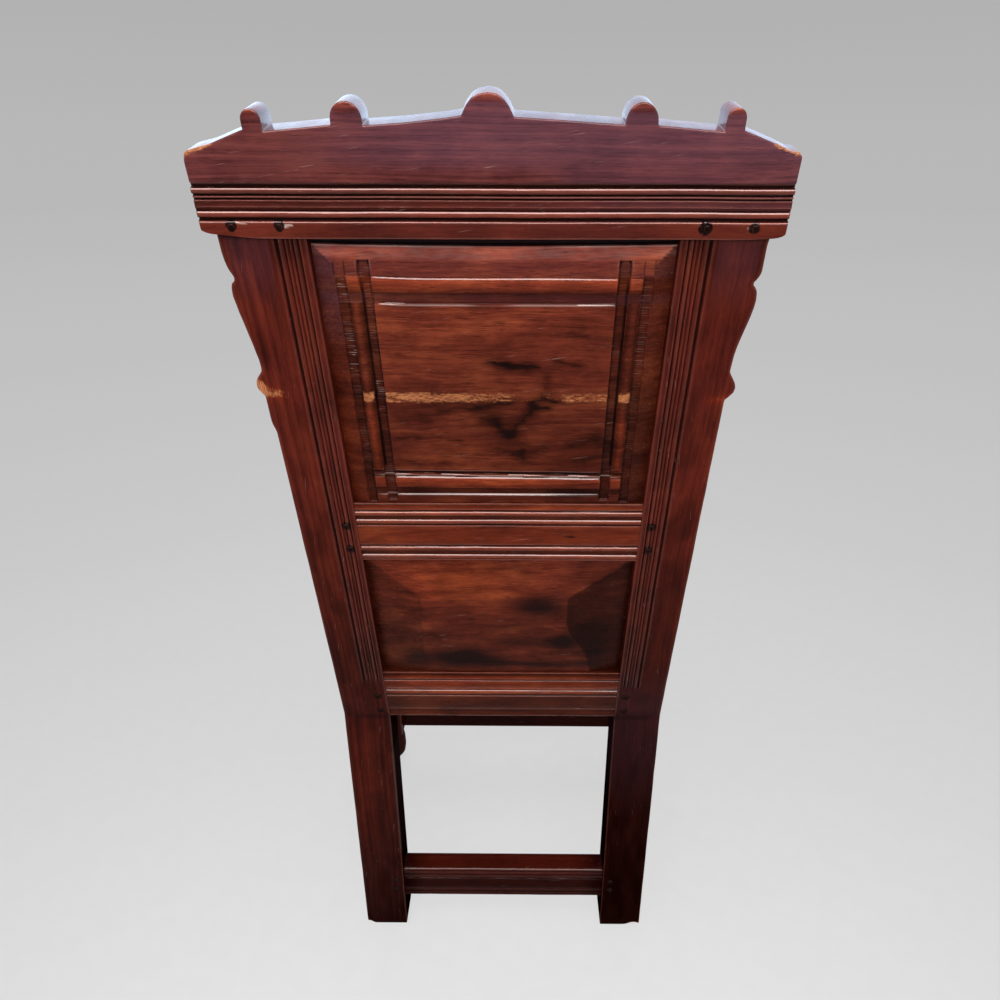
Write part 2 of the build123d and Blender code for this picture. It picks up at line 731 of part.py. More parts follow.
upper_block_bottom = seat_rail_bottom - block_margin
upper_block_top = seat_top + block_margin


def turned(profile, bottom, top):
    """A length of turning between two heights, its profile stretched to fit."""
    tall = profile[-1][1]
    centre = Plane(origin=(front_post_x, front_post_y, bottom), x_dir=(1, 0, 0), z_dir=(0, -1, 0))
    points = [(front_post_size / 2 - cut, up * (top - bottom) / tall) for cut, up in profile]
    with BuildSketch(centre) as half_section:
        with BuildLine():
            Polyline((0, 0), *points, (0, top - bottom), close=True)
        make_face()
    revolve(half_section.sketch, axis=Axis((front_post_x, front_post_y, 0), (0, 0, 1)))


with BuildPart() as front_post:
    square = ((front_post_inner, front_post_outer), (front_face_y, front_post_rear_y))
    block((Plane.XY, *square, (front_stretcher_bottom, lower_block_top)))
    block((Plane.XY, *square, (upper_block_bottom, upper_block_top)))
    turned(foot_turning, 0, front_stretcher_bottom)
    turned(post_turning, lower_block_top, upper_block_bottom)
    turned(arm_turning, upper_block_top, arm_underside)
    block(front_post_tenon)
    mortise(front_rail_tenon)
    mortise(front_stretcher_tenon)
    mortise(side_rail_tenons[1])
    mortise(side_stretcher_tenons[1])
    bore_pegs(front_rail_pegs + front_stretcher_pegs)
    bore_pegs(side_rail_pegs[2:] + side_stretcher_pegs[2:] + arm_pegs[1:])
write_pair("front_post", front_post.part)

# ---------------------------------------------------------------- arms
arm_tip_y = front_face_y - arm_overhang
arm_end_y = arm_rear_y + arm_tenon_length / 2    # past the post's front face, then cut back to it
arm_middle_y = (arm_end_y + front_post_y) / 2
arm_half = arm_rear_width / 2
arm_top = arm_underside + arm_thickness

with BuildPart() as arm:
    with BuildSketch(Plane.XY.offset(arm_underside)):
        with BuildLine():
            outer_side = Spline(
                (arm_rear_x + arm_half, arm_end_y),
                (arm_rear_x + arm_half + arm_bow, arm_middle_y),
                (arm_outer_x, front_post_y),
            )
            arm_inner_x = arm_outer_x - arm_front_width
            ThreePointArc(outer_side @ 1, (front_post_x, arm_tip_y), (arm_inner_x, front_post_y))
            inner_side = Spline(
                (arm_inner_x, front_post_y),
                (arm_rear_x - arm_half + arm_bow, arm_middle_y),
                (arm_rear_x - arm_half, arm_end_y),
            )
            Line(inner_side @ 1, outer_side @ 0)
        make_face()
    extrude(amount=arm_thickness + 2 * arm_rise)
    # Seen from the side, the arm is flat over the front post and rises to the rear post.
    with BuildSketch(Plane.YZ):
        with BuildLine():
            under = Polyline(
                (arm_end_y, arm_rear_underside),
                (front_post_rear_y, arm_underside),
                (arm_tip_y - 1, arm_underside),
            )
            over = ThreePointArc(
                (arm_tip_y - 1, arm_top - arm_tip_drop),
                ((arm_tip_y + arm_end_y) / 2, arm_top - arm_dip),
                (arm_end_y, arm_top + arm_rise),
            )
            Line(under @ 1, over @ 0)
            Line(over @ 1, under @ 0)
        make_face()
    extrude(amount=front_post_spacing, mode=Mode.INTERSECT)
    split(bisect_by=post_front, keep=Keep.TOP)
    block(arm_tenon)
    mortise(front_post_tenon)
    bore_pegs(arm_pegs)
write_pair("arm", arm.part)

# ---------------------------------------------------------------- seat boards
rail_face = back.offset(rail_front + board_gap)
post_back_y = front_post_rear_y + board_gap


def seat_edge_at(y):
    """How far out the side edge of the seat lies."""
    along = (bend_front_y - y) / (bend_front_y - front_post_rear_y)
    rear = post_outer + seat_board_overhang
    front = front_post_outer + seat_board_overhang
    return rear + (front - rear) * along


def seat_board(name, outline, pegs, trimmed):
    """A board of the seat: the sitter's left half of its outline, mirrored."""
    with BuildPart() as board:
        with BuildSketch(Plane.XY.offset(bend_height)):
            with BuildLine():
                Polyline(*outline, close=True)
            make_face()
        extrude(amount=seat_board_thickness)
        bore_pegs(pegs)
        mirror(about=Plane.YZ)
        if trimmed:
            split(bisect_by=rail_face, keep=Keep.TOP)
    write(name, board.part)


seat_board(
    "front_seat_board",
    [
        (0, seat_front_y),
        (front_post_inner - board_gap, seat_front_y),
        (front_post_inner - board_gap, post_back_y),
        (seat_edge_at(post_back_y), post_back_y),
        (seat_edge_at(seat_split_y), seat_split_y),
        (0, seat_split_y),
    ],
    front_board_pegs,
    trimmed=False,
)
seat_board(
    "rear_seat_board",
    [
        (0, seat_split_y),
        (seat_edge_at(seat_split_y), seat_split_y),
        (seat_edge_at(notch_y), notch_y),
        (half_opening - board_gap, notch_y),
        (half_opening - board_gap, bend_y),
        (0, bend_y),
    ],
    rear_board_pegs,
    trimmed=True,
)

# ---------------------------------------------------------------- pegs
peg_groups = {
    "crest_pegs": crest_pegs,
    "middle_rail_pegs": middle_pegs,
    "bottom_rail_pegs": bottom_pegs,
    "rear_stretcher_pegs": rear_stretcher_pegs,
    "side_rail_pegs": side_rail_pegs,
    "side_stretcher_pegs": side_stretcher_pegs,
    "front_rail_pegs": front_rail_pegs,
    "front_stretcher_pegs": front_stretcher_pegs,
    "arm_pegs": arm_pegs,
    "seat_pegs": front_board_pegs + rear_board_pegs,
}
for name, places in peg_groups.items():
    with BuildPart() as pegs:
        drive_pegs(places)
        mirror(about=Plane.YZ)
    write(name, pegs.part)
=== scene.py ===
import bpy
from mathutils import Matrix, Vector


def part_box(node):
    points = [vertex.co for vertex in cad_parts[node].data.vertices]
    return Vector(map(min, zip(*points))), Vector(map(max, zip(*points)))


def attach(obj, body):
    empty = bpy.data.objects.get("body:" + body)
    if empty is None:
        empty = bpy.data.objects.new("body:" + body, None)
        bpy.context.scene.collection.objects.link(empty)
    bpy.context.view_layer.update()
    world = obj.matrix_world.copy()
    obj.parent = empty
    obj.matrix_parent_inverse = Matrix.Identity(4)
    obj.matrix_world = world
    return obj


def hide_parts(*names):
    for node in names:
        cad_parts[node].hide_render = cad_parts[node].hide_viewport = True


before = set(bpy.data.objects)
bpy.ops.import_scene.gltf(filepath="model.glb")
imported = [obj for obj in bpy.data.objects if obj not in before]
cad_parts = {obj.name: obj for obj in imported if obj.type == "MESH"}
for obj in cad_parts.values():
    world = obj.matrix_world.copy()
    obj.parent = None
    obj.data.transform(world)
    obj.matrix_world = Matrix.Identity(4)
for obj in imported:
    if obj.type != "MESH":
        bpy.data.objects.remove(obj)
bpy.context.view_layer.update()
print("CAD nodes:", len(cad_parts))

# %% [markdown]
# NumPy does the geometry, because a moulded rail is a grid of points and arrays are quick at that.
# Lengths are in millimetres, as a joiner writes them, until one function turns them to metres.
# %% Bring in the tools
from math import atan2, cos, hypot, pi, radians, sin
from types import SimpleNamespace

import bmesh
import bpy
import numpy as np
from mathutils import Matrix, Vector
from mathutils.geometry import delaunay_2d_cdt

MM = 0.001

# %% [markdown]
# The back leans and the rear legs kick, so two slanted planes meet in a bend at seat height. A place
# on the back is (x, v, w): x across, v up the back from the bend, w into the wood from its rear face.
# Pieces written in these three numbers are straight, and one function bends them.
# %% The plane of the back and of the legs
LEAN, KICK = radians(12.6), radians(2.0)
BEND_Z = 440.0                  # the bend is at seat height
BACK_HEIGHT, CREST_V = 784.0, 673.0     # up the back: its whole height, and the top of the posts
BEND_Y = (435.0 - BACK_HEIGHT * sin(LEAN) - cos(LEAN)) / 2
SOFT_BEND = 16.0                # over this length either side, pieces turn from one plane to the other
HALF_OPENING = 160.0            # half the width between the posts


def stacked(places):
    """Places as one array, whose last axis holds the coordinates, from an array or a tuple of them."""
    return np.stack(places, -1) if isinstance(places, tuple) else np.asarray(places, float)


def on_back(places):
    """(x, v, w) on the raked back, to row-frame millimetres; below the bend it follows the leg."""
    x, v, w = np.moveaxis(stacked(places), -1, 0)
    above = v >= 0
    own = np.where(above, LEAN, -KICK)
    middle = (LEAN - KICK) / 2
    tilt = middle + (own - middle) * np.clip(np.abs(v) / SOFT_BEND, 0, 1)
    reach = w / np.cos(tilt - own)
    y = BEND_Y + v * np.where(above, sin(LEAN), -sin(KICK)) - reach * np.cos(tilt)
    z = BEND_Z + v * np.where(above, cos(LEAN), cos(KICK)) + reach * np.sin(tilt)
    return stacked((x, y, z))


print("bend at y =", round(BEND_Y, 1), "mm")

# %% [markdown]
# Nothing made by hand is quite straight. A smooth noise, the same on every run, supplies the wander of
# a moulding, the ripple left by a plane and the patchiness of wear. It is value noise: random numbers
# at the corners of a lattice, blended in between.
# %% Smooth noise
SCATTER, MIXER, LARGEST = (73856093, 19349663, 83492791), 1274126177, 0x7FFFFFFF


def waver(points, size, seed=0.0):
    """Smooth values from -1 to 1 at points; size is the distance over which they change."""
    p = stacked(points) / size + seed * 7.31 + 1000
    cell = np.floor(p).astype(np.int64)
    part = p - cell
    part = part * part * (3 - 2 * part)
    total = np.zeros(p.shape[:-1])
    for corner in np.ndindex(*(2,) * p.shape[-1]):
        at = cell + np.array(corner)
        key = sum(at[..., k] * SCATTER[k] for k in range(p.shape[-1]))
        key = (key ^ (key >> 13)) * MIXER & LARGEST
        weight = np.prod(np.where(np.array(corner) == 1, part, 1 - part), axis=-1)
        total += weight * (key / (LARGEST // 2) - 1)
    return total


def line_waver(along, size, seed=0.0):
    """The same along a line."""
    return waver((along, np.full_like(along, 3.7)), size, seed)


def ease(value, low, high):
    """0 below low, 1 above high, and a smooth step between them; low may be the larger."""
    t = np.clip((value - low) / (high - low + 1e-12), 0, 1)
    return t * t * (3 - 2 * t)


def read(at, *pairs):
    """A value read from (place, value) pairs, with straight lines between them."""
    return np.interp(at, *np.array(pairs, float).T)


print("noise at the origin:", round(float(waver(np.zeros(2), 10)), 3))


# %% [markdown]
# A run moulding is one outline carried along a rail. The outline is drawn as a maker scribes it:
# straight strokes, round reeds and hollow coves. It is then softened a little, which rounds every
# arris as two centuries of handling would, and thinned where it is straight, to keep the mesh light.
# %% Draw an outline
FINE = 0.25                     # the step between points before an outline is thinned


def trace(start, strokes, count=None):
    """Points along strokes; one is (across, depth) if straight, or (kind, across, depth, bulge)."""
    line = [np.array([start], float)]
    for stroke in strokes:
        kind, across, depth, bulge = stroke if len(stroke) == 4 else ("straight", *stroke, 0)
        here = line[-1][-1]
        steps = count or max(2, int(hypot(across - here[0], depth - here[1]) / FINE))
        t = np.linspace(0, 1, steps + 1)[1:]
        points = here + (np.array([across, depth]) - here) * t[:, None]
        if kind == "reed":
            points[:, 1] -= bulge * np.sqrt(np.clip(1 - (2 * t - 1) ** 2, 0, 1))
        if kind == "cove":
            points[:, 1] += bulge * np.sin(pi * t)
        line.append(points)
    return np.vstack(line)


def draw(start, strokes, soft=0.4, longest=3.0):
    """A closed outline of (across, depth) points, softened and thinned."""
    return soften(trace(start, strokes), soft, longest)


def closed_run(points):
    """A closed outline with its first point again at the end, and the distance along it at each."""
    points = np.vstack([points, points[:1]])
    return points, np.concatenate([[0], np.cumsum(np.linalg.norm(np.diff(points, axis=0), axis=1))])


def resample(points, step):
    """Points at even steps round a closed outline."""
    points, run = closed_run(points)
    at = np.linspace(0, run[-1], max(8, int(run[-1] / step)), endpoint=False)
    return np.stack([np.interp(at, run, points[:, k]) for k in range(points.shape[1])], -1)


def bell(reach, step, soft):
    """The weights of a running mean that fades smoothly to both sides."""
    weights = np.exp(-0.5 * (np.arange(-reach, reach + 1) * step / soft) ** 2)
    return weights / weights.sum()


def soften(points, soft, longest):
    """Rounds a closed outline, then keeps the points where it turns."""
    fine = resample(points, FINE)
    reach = int(3 * soft / FINE) + 1
    kernel = bell(reach, FINE, soft)
    padded = np.vstack([fine[-reach:], fine, fine[:reach]])
    smooth = np.stack([np.convolve(padded[:, k], kernel, "valid") for k in (0, 1)], -1)
    return thin(smooth, longest)


def thin(points, longest, turn=radians(9)):
    """Drops the points on straight stretches of a closed outline."""
    kept, heading = [0], None
    for i in range(1, len(points)):
        step = points[i] - points[kept[-1]]
        angle = atan2(*(points[i] - points[i - 1])[::-1])
        heading = angle if heading is None else heading
        bend = abs((angle - heading + pi) % (2 * pi) - pi)
        if bend > turn or np.hypot(*step) > longest:
            kept.append(i)
            heading = angle
    return points[kept]


# %% [markdown]
# Wax and dirt gather in the hollows and hands polish the arrises, so each point carries how far it
# stands proud of its surroundings. It is measured from the outline itself: the point against the
# middle of its neighbours a couple of millimetres away on either side.
# %% Measure what stands proud


def turning(outline):
    """1 where a closed outline runs anticlockwise, and -1 where it runs clockwise."""
    x, y = outline.T
    return np.sign(np.sum(x * np.roll(y, -1) - np.roll(x, -1) * y))


def proud_of(outline, reach=2.0):
    """How far each point of a closed outline stands out, in mm; negative in a quirk."""
    closed, run = closed_run(outline)

    def at(place):
        place = place % run[-1]
        return np.stack([np.interp(place, run, closed[:, k]) for k in (0, 1)], -1)

    own = run[:-1]
    tangent = at(own + 0.3) - at(own - 0.3)
    normal = stacked((tangent[:, 1], -tangent[:, 0]))
    normal /= np.linalg.norm(normal, axis=1, keepdims=True) + 1e-9
    middle = (at(own + reach) + at(own - reach)) / 2
    return np.sum((outline - middle) * normal, axis=1) * turning(outline)


# %% [markdown]
# Dusting and polishing buff the shoulders of a moulding that face up, where the cloth presses, and
# leave the quirks dull. So each point of an outline also carries how far its surface tilts upwards.
# %% Measure what is buffed


def buffed(outline, proud):
    """1 on the rising flanks of an outline of (height, depth), 0 on its flats and in its quirks."""
    tangent = (np.roll(outline, -1, 0) - np.roll(outline, 1, 0)) * turning(outline)
    tilt = np.arctan2(tangent[:, 1], tangent[:, 0])
    rising = ease(tilt, radians(10), radians(24)) * ease(tilt, radians(90), radians(80))
    return rising * ease(proud, -0.9, -0.35)


# %% [markdown]
# Every piece goes through one function. It turns millimetres to metres, makes the mesh, faces its
# surfaces outwards, and stores on the points what the finish will read. One vector says where a point
# lies along the grain. Seven numbers, the marks, say what has happened there, and where light and
# shade are painted:
#
# - proud: how far it stands out, in mm, where hands rub; below zero, dirt gathers
# - worn: rubbed through to bare wood; stain: a dark spill, and on the posts painted shadow too;
#   pale: a fresh chip or a scratch, and on the upper panel painted highlights and sheen too
# - polish: waxed and buffed; warm: redder where above zero, and below zero a purplish painted cool
#   tint, for a reflection of the sky and, on the posts, for shadow
# - shade: painted light and shade, and some tone and wear of the wood: how light it is, from nearly
#   black at 0 to its own colour at 1, and painted lighter above 1
#
# Then it names the body that the piece rides on, the finish and the solid that it stands for.
# %% Make a piece
MARKS = {"proud": 0.0, "worn": 0.0, "stain": 0.0, "polish": 0.0, "pale": 0.0, "warm": 0.0, "shade": 1.0}
SHARP = radians(44)             # edges that turn by more than this stay crisp


def store(mesh, label, kind, field, values):
    """Writes one value, or one vector, to each point of a mesh."""
    values = np.ascontiguousarray(values, np.float32).ravel()
    mesh.attributes.new(label, kind, "POINT").data.foreach_set(field, values)


def piece(name, world, faces, grain, marks, wood, nodes, walls=False):
    """A mesh from row-frame millimetres that stands for the named CAD nodes."""
    mesh = bpy.data.meshes.new(name)
    world = stacked(world)
    mesh.from_pydata((world * MM).reshape(-1, 3).tolist(), [], [list(map(int, f)) for f in faces])
    mesh.validate()
    made = bpy.data.objects.new(name, mesh)
    bpy.context.scene.collection.objects.link(made)
    for label, usual in MARKS.items():
        values = np.asarray(marks.get(label, usual), np.float32).ravel()
        store(mesh, label, "FLOAT", "value", np.broadcast_to(values, len(mesh.vertices)))
    store(mesh, "grain", "FLOAT_VECTOR", "vector", stacked(grain) * MM)
    face_outwards(mesh, walls)
    mesh.shade_smooth()
    mesh.set_sharp_from_angle(angle=SHARP)
    mesh.materials.append(wood)
    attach(made, "root")
    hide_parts(*nodes)
    solid, points = np.array([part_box(node) for node in nodes]) / MM, world.reshape(-1, 3)
    beyond = max((solid[:, 0].min(0) - points.min(0)).max(), (points.max(0) - solid[:, 1].max(0)).max())
    print(f"{name}: {len(mesh.polygons)} faces, at most {beyond:.1f} mm beyond its solid")
    return made


def face_outwards(mesh, walls=False):
    """Turns every face to point out of the wood; walls joins the edges of two sheets first."""
    work = bmesh.new()
    work.from_mesh(mesh)
    if walls:
        bmesh.ops.bridge_loops(work, edges=[e for e in work.edges if e.is_boundary])
    bmesh.ops.recalc_face_normals(work, faces=work.faces)
    work.to_mesh(mesh)
    work.free()


# %% Faces of tubes and sheets


def around(rows, columns, first=0, ends=True):
    """Faces of a tube of points: rows along it, columns round it."""
    at = np.arange(rows * columns).reshape(rows, columns) + first
    low, high = at[:-1], at[1:]
    faces = stacked((low, np.roll(low, -1, 1), np.roll(high, -1, 1), high)).reshape(-1, 4).tolist()
    return faces + [at[0][::-1].tolist(), at[-1].tolist()] if ends else faces


def sheet(rows, columns, first=0):
    """Faces of an open grid of points."""
    at = np.arange(rows * columns).reshape(rows, columns) + first
    return stacked((at[:-1, :-1], at[:-1, 1:], at[1:, 1:], at[1:, :-1])).reshape(-1, 4).tolist()

# %% [markdown]
# ## The finish
# Old oak under wax is not one brown. Growth rings, streaks and fine fibres run with the grain; broad
# patches have faded or darkened; grime sits in the quirks; arrises are rubbed back to warm wood. All
# of it is worked out by nodes from the grain position that each piece carries, so every board has its
# figure running its own way. First come short helpers, one for each kind of node.
# %% A colour as it looks on screen


def tone(red, green, blue):
    """A colour from 0 to 255, as the linear numbers that Blender mixes."""
    parts = [c / 255 for c in (red, green, blue)]
    return (*[c / 12.92 if c <= 0.04045 else ((c + 0.055) / 1.055) ** 2.4 for c in parts], 1.0)


print("middle grey:", round(tone(128, 128, 128)[0], 3))

# %% Node helpers


class Finish:
    """A material's node tree, with one call for each step of the finish."""

    def __init__(self, name):
        self.material = bpy.data.materials.new(name)
        self.material.use_nodes = True
        self.tree = self.material.node_tree
        self.shader = self.tree.nodes["Principled BSDF"]

    def add(self, kind, inputs, output=0, **settings):
        made = self.tree.nodes.new("ShaderNode" + kind)
        for key, value in settings.items():
            setattr(made, key, value)
        for key, value in inputs.items():
            self.join(value, made.inputs[key])
        return made.outputs[output]

    def join(self, value, socket):
        """Links another node's output to a socket, or sets a plain value on it."""
        if isinstance(value, bpy.types.NodeSocket):
            self.tree.links.new(value, socket)
        else:
            socket.default_value = value

    def held(self, label, output="Fac"):
        """A mark that the mesh carries."""
        return self.add("Attribute", {}, output, attribute_name=label)

    def vectors(self, operation, a, b):
        return self.add("VectorMath", {0: a, 1: b}, operation=operation)

    def stretch(self, vector, scale):
        return self.vectors("MULTIPLY", vector, scale)

    def noise(self, vector, detail=2.0, roughness=0.5, output=0):
        inputs = {"Vector": vector, "Scale": 1.0, "Detail": detail, "Roughness": roughness}
        return self.add("TexNoise", inputs, output)

    def swayed(self, place, scale, amount):
        """A place, moved a little across the grain by a slow noise."""
        sway = self.noise(self.stretch(place, scale), output="Color")
        sway = self.vectors("SUBTRACT", sway, (0.5, 0.5, 0.5))
        return self.vectors("ADD", place, self.stretch(sway, (0, amount, amount)))

    def length(self, vector):
        return self.add("VectorMath", {0: vector}, "Value", operation="LENGTH")

    def maths(self, operation, a, b=0.0):
        return self.add("Math", {0: a, 1: b}, operation=operation)

    def weighted(self, *terms):
        """The sum of (value, weight) terms."""
        total = None
        for value, weight in terms:
            part = self.maths("MULTIPLY", value, weight)
            total = part if total is None else self.maths("ADD", total, part)
        return total

    def plus(self, value, other, weight):
        return self.maths("ADD", value, self.maths("MULTIPLY", other, weight))

    def between(self, value, low, high, least=0.0, most=1.0):
        """value eased from least at low to most at high."""
        inputs = {"Value": value, "From Min": low, "From Max": high, "To Min": least, "To Max": most}
        return self.add("MapRange", inputs, interpolation_type="SMOOTHSTEP")

    def blend(self, factor, a, b, how="MIX"):
        return self.add("Mix", {0: factor, 6: a, 7: b}, 2, data_type="RGBA", blend_type=how)

    def tint(self, colour, red, green, blue):
        """A colour with each of its parts multiplied by a number."""
        factors = self.add("CombineColor", {0: red, 1: green, 2: blue})
        return self.blend(1.0, colour, factors, "MULTIPLY")

    def ramp(self, value, stops):
        made = self.tree.nodes.new("ShaderNodeValToRGB")
        while len(made.color_ramp.elements) < len(stops):
            made.color_ramp.elements.new(0.5)
        for element, (place, colour) in zip(made.color_ramp.elements, stops):
            element.position, element.color = place, colour
        self.join(value, made.inputs[0])
        return made.outputs[0]


# %% [markdown]
# A board's figure is a slice through the rings of the tree. So the nodes measure the distance from a
# pith line some way behind the board, bend it a little, and read a one-dimensional noise there: that
# gives rings of uneven width which open into long arches, as on a sawn plank. Streaks and fibres are
# noises stretched hundreds of times finer across the grain than along it.
# %% Figure of the wood


def figure(f, pith, bend):
    """Growth rings, streaks, clouds, fibres and broad patches, each about 0 to 1."""
    grain = f.held("grain", "Vector")
    bent = f.swayed(grain, (3.2, 9.0, 9.0), bend)
    apart = f.vectors("SUBTRACT", bent, (0, *pith))
    radius = f.length(f.stretch(apart, (0.02, 1, 1)))
    along = {"W": f.maths("MULTIPLY", radius, 210.0), "Scale": 1.0, "Detail": 3.0}
    return {
        "grain": grain,
        "rings": f.add("TexNoise", along, noise_dimensions="1D"),
        "streaks": f.noise(f.stretch(bent, (13.0, 380.0, 380.0)), 5.0, 0.62),
        "clouds": f.noise(f.stretch(bent, (19.0, 40.0, 40.0)), 5.0, 0.62),
        "fibres": f.noise(f.stretch(bent, (70.0, 2100.0, 2100.0)), 3.0, 0.6),
        "patches": f.noise(f.stretch(grain, (8.0, 13.0, 13.0)), 4.0, 0.55),
    }


# %% [markdown]
# The finish goes on in the order that time laid it down. First comes the wood itself: its figure in
# three tones, darkened in patches by age, made lighter or darker by the shade mark, which paints
# light and shade, warmed where the warm mark is above zero and given a purplish painted cool tint
# where it is below, and flecked with the short dark pores of oak. Pores sway a little, or they would
# look ruled.
# %% The wood, darkened by age, with painted light and shade
# The first colour is a purplish cool tint, painted for a reflection of the sky and for shadow.
PAINTED_COOL_TINT, PORE = tone(116, 84, 104), tone(22, 8, 6)


def aged_wood(f, wood, tones, figured, aged, ringed, flecks):
    """The wood's colour, with painted light and shade, before it is dirtied or rubbed, and its pores."""
    value = f.weighted((wood["rings"], ringed), (wood["streaks"], 0.14),
                       (wood["clouds"], 0.48 - ringed), (wood["patches"], 0.38))
    spread = 0.15 / figured
    colour = f.ramp(value, list(zip((0.5 - spread, 0.5, 0.5 + spread), tones)))
    # The shade mark paints light and shade over the patches of age.
    age_and_shade = f.between(wood["patches"], 0.3, 0.72, 1.0 + 0.25 * aged, 1.0 - 0.5 * aged)
    age_and_shade = f.maths("MULTIPLY", age_and_shade, f.held("shade"))
    colour = f.tint(colour, age_and_shade, age_and_shade, age_and_shade)
    warm = f.held("warm")
    glow = f.maths("MAXIMUM", warm, 0.0)
    red, green = [f.maths("ADD", f.maths("MULTIPLY", glow, k), 1.0) for k in (0.75, 0.45)]
    colour = f.tint(colour, red, green, 1.0)
    # Below zero the warm mark paints a purplish cool tint: a reflection of the sky, and shadow on the
    # posts.
    cool_tint = f.maths("MAXIMUM", f.maths("MULTIPLY", warm, -1.0), 0.0)
    colour = f.blend(cool_tint, colour, PAINTED_COOL_TINT)
    thread = f.between(wood["fibres"], 0.3, 0.7, 0.86, 1.1)
    colour = f.tint(colour, thread, thread, thread)
    swayed = f.swayed(wood["grain"], (9.0, 26.0, 26.0), 0.012)
    pores = f.noise(f.stretch(swayed, (36.0, 1150.0, 1150.0)))
    return f.blend(f.between(pores, 0.5, 0.72, 0.0, flecks), colour, PORE), pores


# %% [markdown]
# Then comes use. Grime fills the hollows, hands rub the proud arrises to a paler colour, which also
# paints a highlight along them, and grit leaves scratches, whose pale colour also paints highlight
# lines where the pale mark says. A worn place shows bare wood through the finish with a broken edge,
# and a spill leaves a dark stain that creeps along the streaks; the stain mark paints shadow too. A
# place made dark by the shade mark's painted shade takes no scratch and, later, no polish.
# %% Dirt, wear, and painted highlights and shadow
GRIME, RUBBED_AND_HIGHLIT, SCRATCH_AND_HIGHLIGHT = tone(18, 8, 7), tone(150, 78, 60), tone(196, 168, 160)
BARE, SPILL_AND_SHADOW = (tone(138, 76, 46), tone(196, 128, 84)), tone(20, 8, 8)


def lived_with(f, wood, colour, rub_and_highlight):
    """Adds use, painted highlights and painted shadow to a colour; gives what the gloss has to know."""
    grain, proud = wood["grain"], f.held("proud")
    mottle = f.noise(f.stretch(grain, (55.0, 160.0, 160.0)), 4.0, 0.6)
    grime = f.between(f.plus(proud, mottle, -0.25), -0.3, -0.95, 0.0, 0.85)
    colour = f.blend(grime, colour, GRIME)
    # Proud arrises go paler: real wear, and also a painted highlight along them.
    rubbed = f.between(f.plus(proud, mottle, 0.9), 0.8, 1.5, 0.0, rub_and_highlight)
    colour = f.blend(rubbed, colour, RUBBED_AND_HIGHLIT)

    turned = f.add("VectorRotate", {"Vector": grain, "Angle": 0.16}, rotation_type="Z_AXIS")
    scratch = f.noise(f.stretch(turned, (26.0, 1500.0, 1500.0)), 1.0)
    scratch = f.maths("MULTIPLY", f.between(scratch, 0.73, 0.8), f.between(mottle, 0.4, 0.6, 0.0, 0.4))
    # Where the shade mark paints deep shade, no scratch shows and no polish lies.
    unshaded = f.between(f.held("shade"), 0.03, 0.32)
    scratch = f.maths("MULTIPLY", scratch, unshaded)
    # The pale mark, in this colour, paints highlight lines and sheen as well as chips and scratches.
    colour = f.blend(f.maths("MAXIMUM", scratch, f.held("pale")), colour, SCRATCH_AND_HIGHLIGHT)

    broken = f.noise(f.stretch(grain, (260.0, 620.0, 620.0)), 4.0, 0.7)
    worn = f.between(f.plus(f.held("worn"), broken, 0.9), 0.82, 1.12)
    colour = f.blend(worn, colour, f.blend(f.between(wood["fibres"], 0.4, 0.6), *BARE))
    # The stain mark paints shadow on the posts as well as spills, in the spill colour.
    stain = f.between(f.plus(f.held("stain"), wood["streaks"], 0.5), 0.38, 1.0, 0.0, 0.93)
    return f.blend(stain, colour, SPILL_AND_SHADOW), proud, mottle, grime, worn, unshaded


# %% [markdown]
# Last come gloss and relief. Roughness follows the same story, because grime and bare wood are dull.
# The wax is a thin coat, and it lies only on proud arrises and where the polish mark says, so flat
# old wood stays quiet. Bump only gives fibres and pores their relief. The settings of a finish are:
#
# - dark, body, light: the three tones of the wood; figured: how sharply they part
# - pith, bend: where the heart of the tree lay, in metres, and how far its rings sway
# - ringed, flecks, aged: how strong the rings, the pores and the patches of age are
# - gloss: the roughness of clean wood; specular: its own shine, under the wax
# - shine, least: the polish on a proud arris, and on all the rest; rub_and_highlight: how far arrises
#   are bared, to a paler colour that also paints a highlight along them
# %% Waxed old wood


def waxed(name, slot, dark, body, light, pith=(0.02, 0.09), bend=0.03, gloss=0.26, aged=0.5, rub_and_highlight=0.4,
          figured=1.0, specular=0.04, shine=1.0, least=0.0, ringed=0.24, flecks=0.3):
    """The finish of one kind of board."""
    f = Finish(name)
    wood = figure(f, pith, bend)
    colour, pores = aged_wood(f, wood, (dark, body, light), figured, aged, ringed, flecks)
    colour, proud, mottle, grime, worn, unshaded = lived_with(f, wood, colour, rub_and_highlight)
    f.join(colour, f.shader.inputs["Base Color"])

    dull = f.plus(f.between(wood["patches"], 0.3, 0.7, gloss - 0.05, gloss + 0.08), grime, 0.3)
    dull = f.plus(dull, worn, 0.25)
    f.join(f.maths("ADD", dull, f.between(mottle, 0.3, 0.7, -0.03, 0.05)), f.shader.inputs["Roughness"])
    height = f.weighted((wood["fibres"], 0.5), (wood["streaks"], 0.9))
    height = f.maths("SUBTRACT", height, f.between(pores, 0.62, 0.72, 0.0, 0.5))
    relief = f.add("Bump", {"Height": height, "Distance": 0.0002, "Strength": 0.35})
    f.join(relief, f.shader.inputs["Normal"])
    polish = f.between(f.plus(proud, mottle, 0.3), 0.35, 0.75, least, shine)
    polish = f.maths("MAXIMUM", polish, f.held("polish"))
    # No polish where the shade mark paints deep shade.
    f.join(f.maths("MULTIPLY", polish, unshaded), f.shader.inputs["Coat Weight"])
    f.shader.inputs["Specular IOR Level"].default_value = specular
    f.shader.inputs["Coat Roughness"].default_value = 0.11
    f.material["slot"] = slot
    return f.material


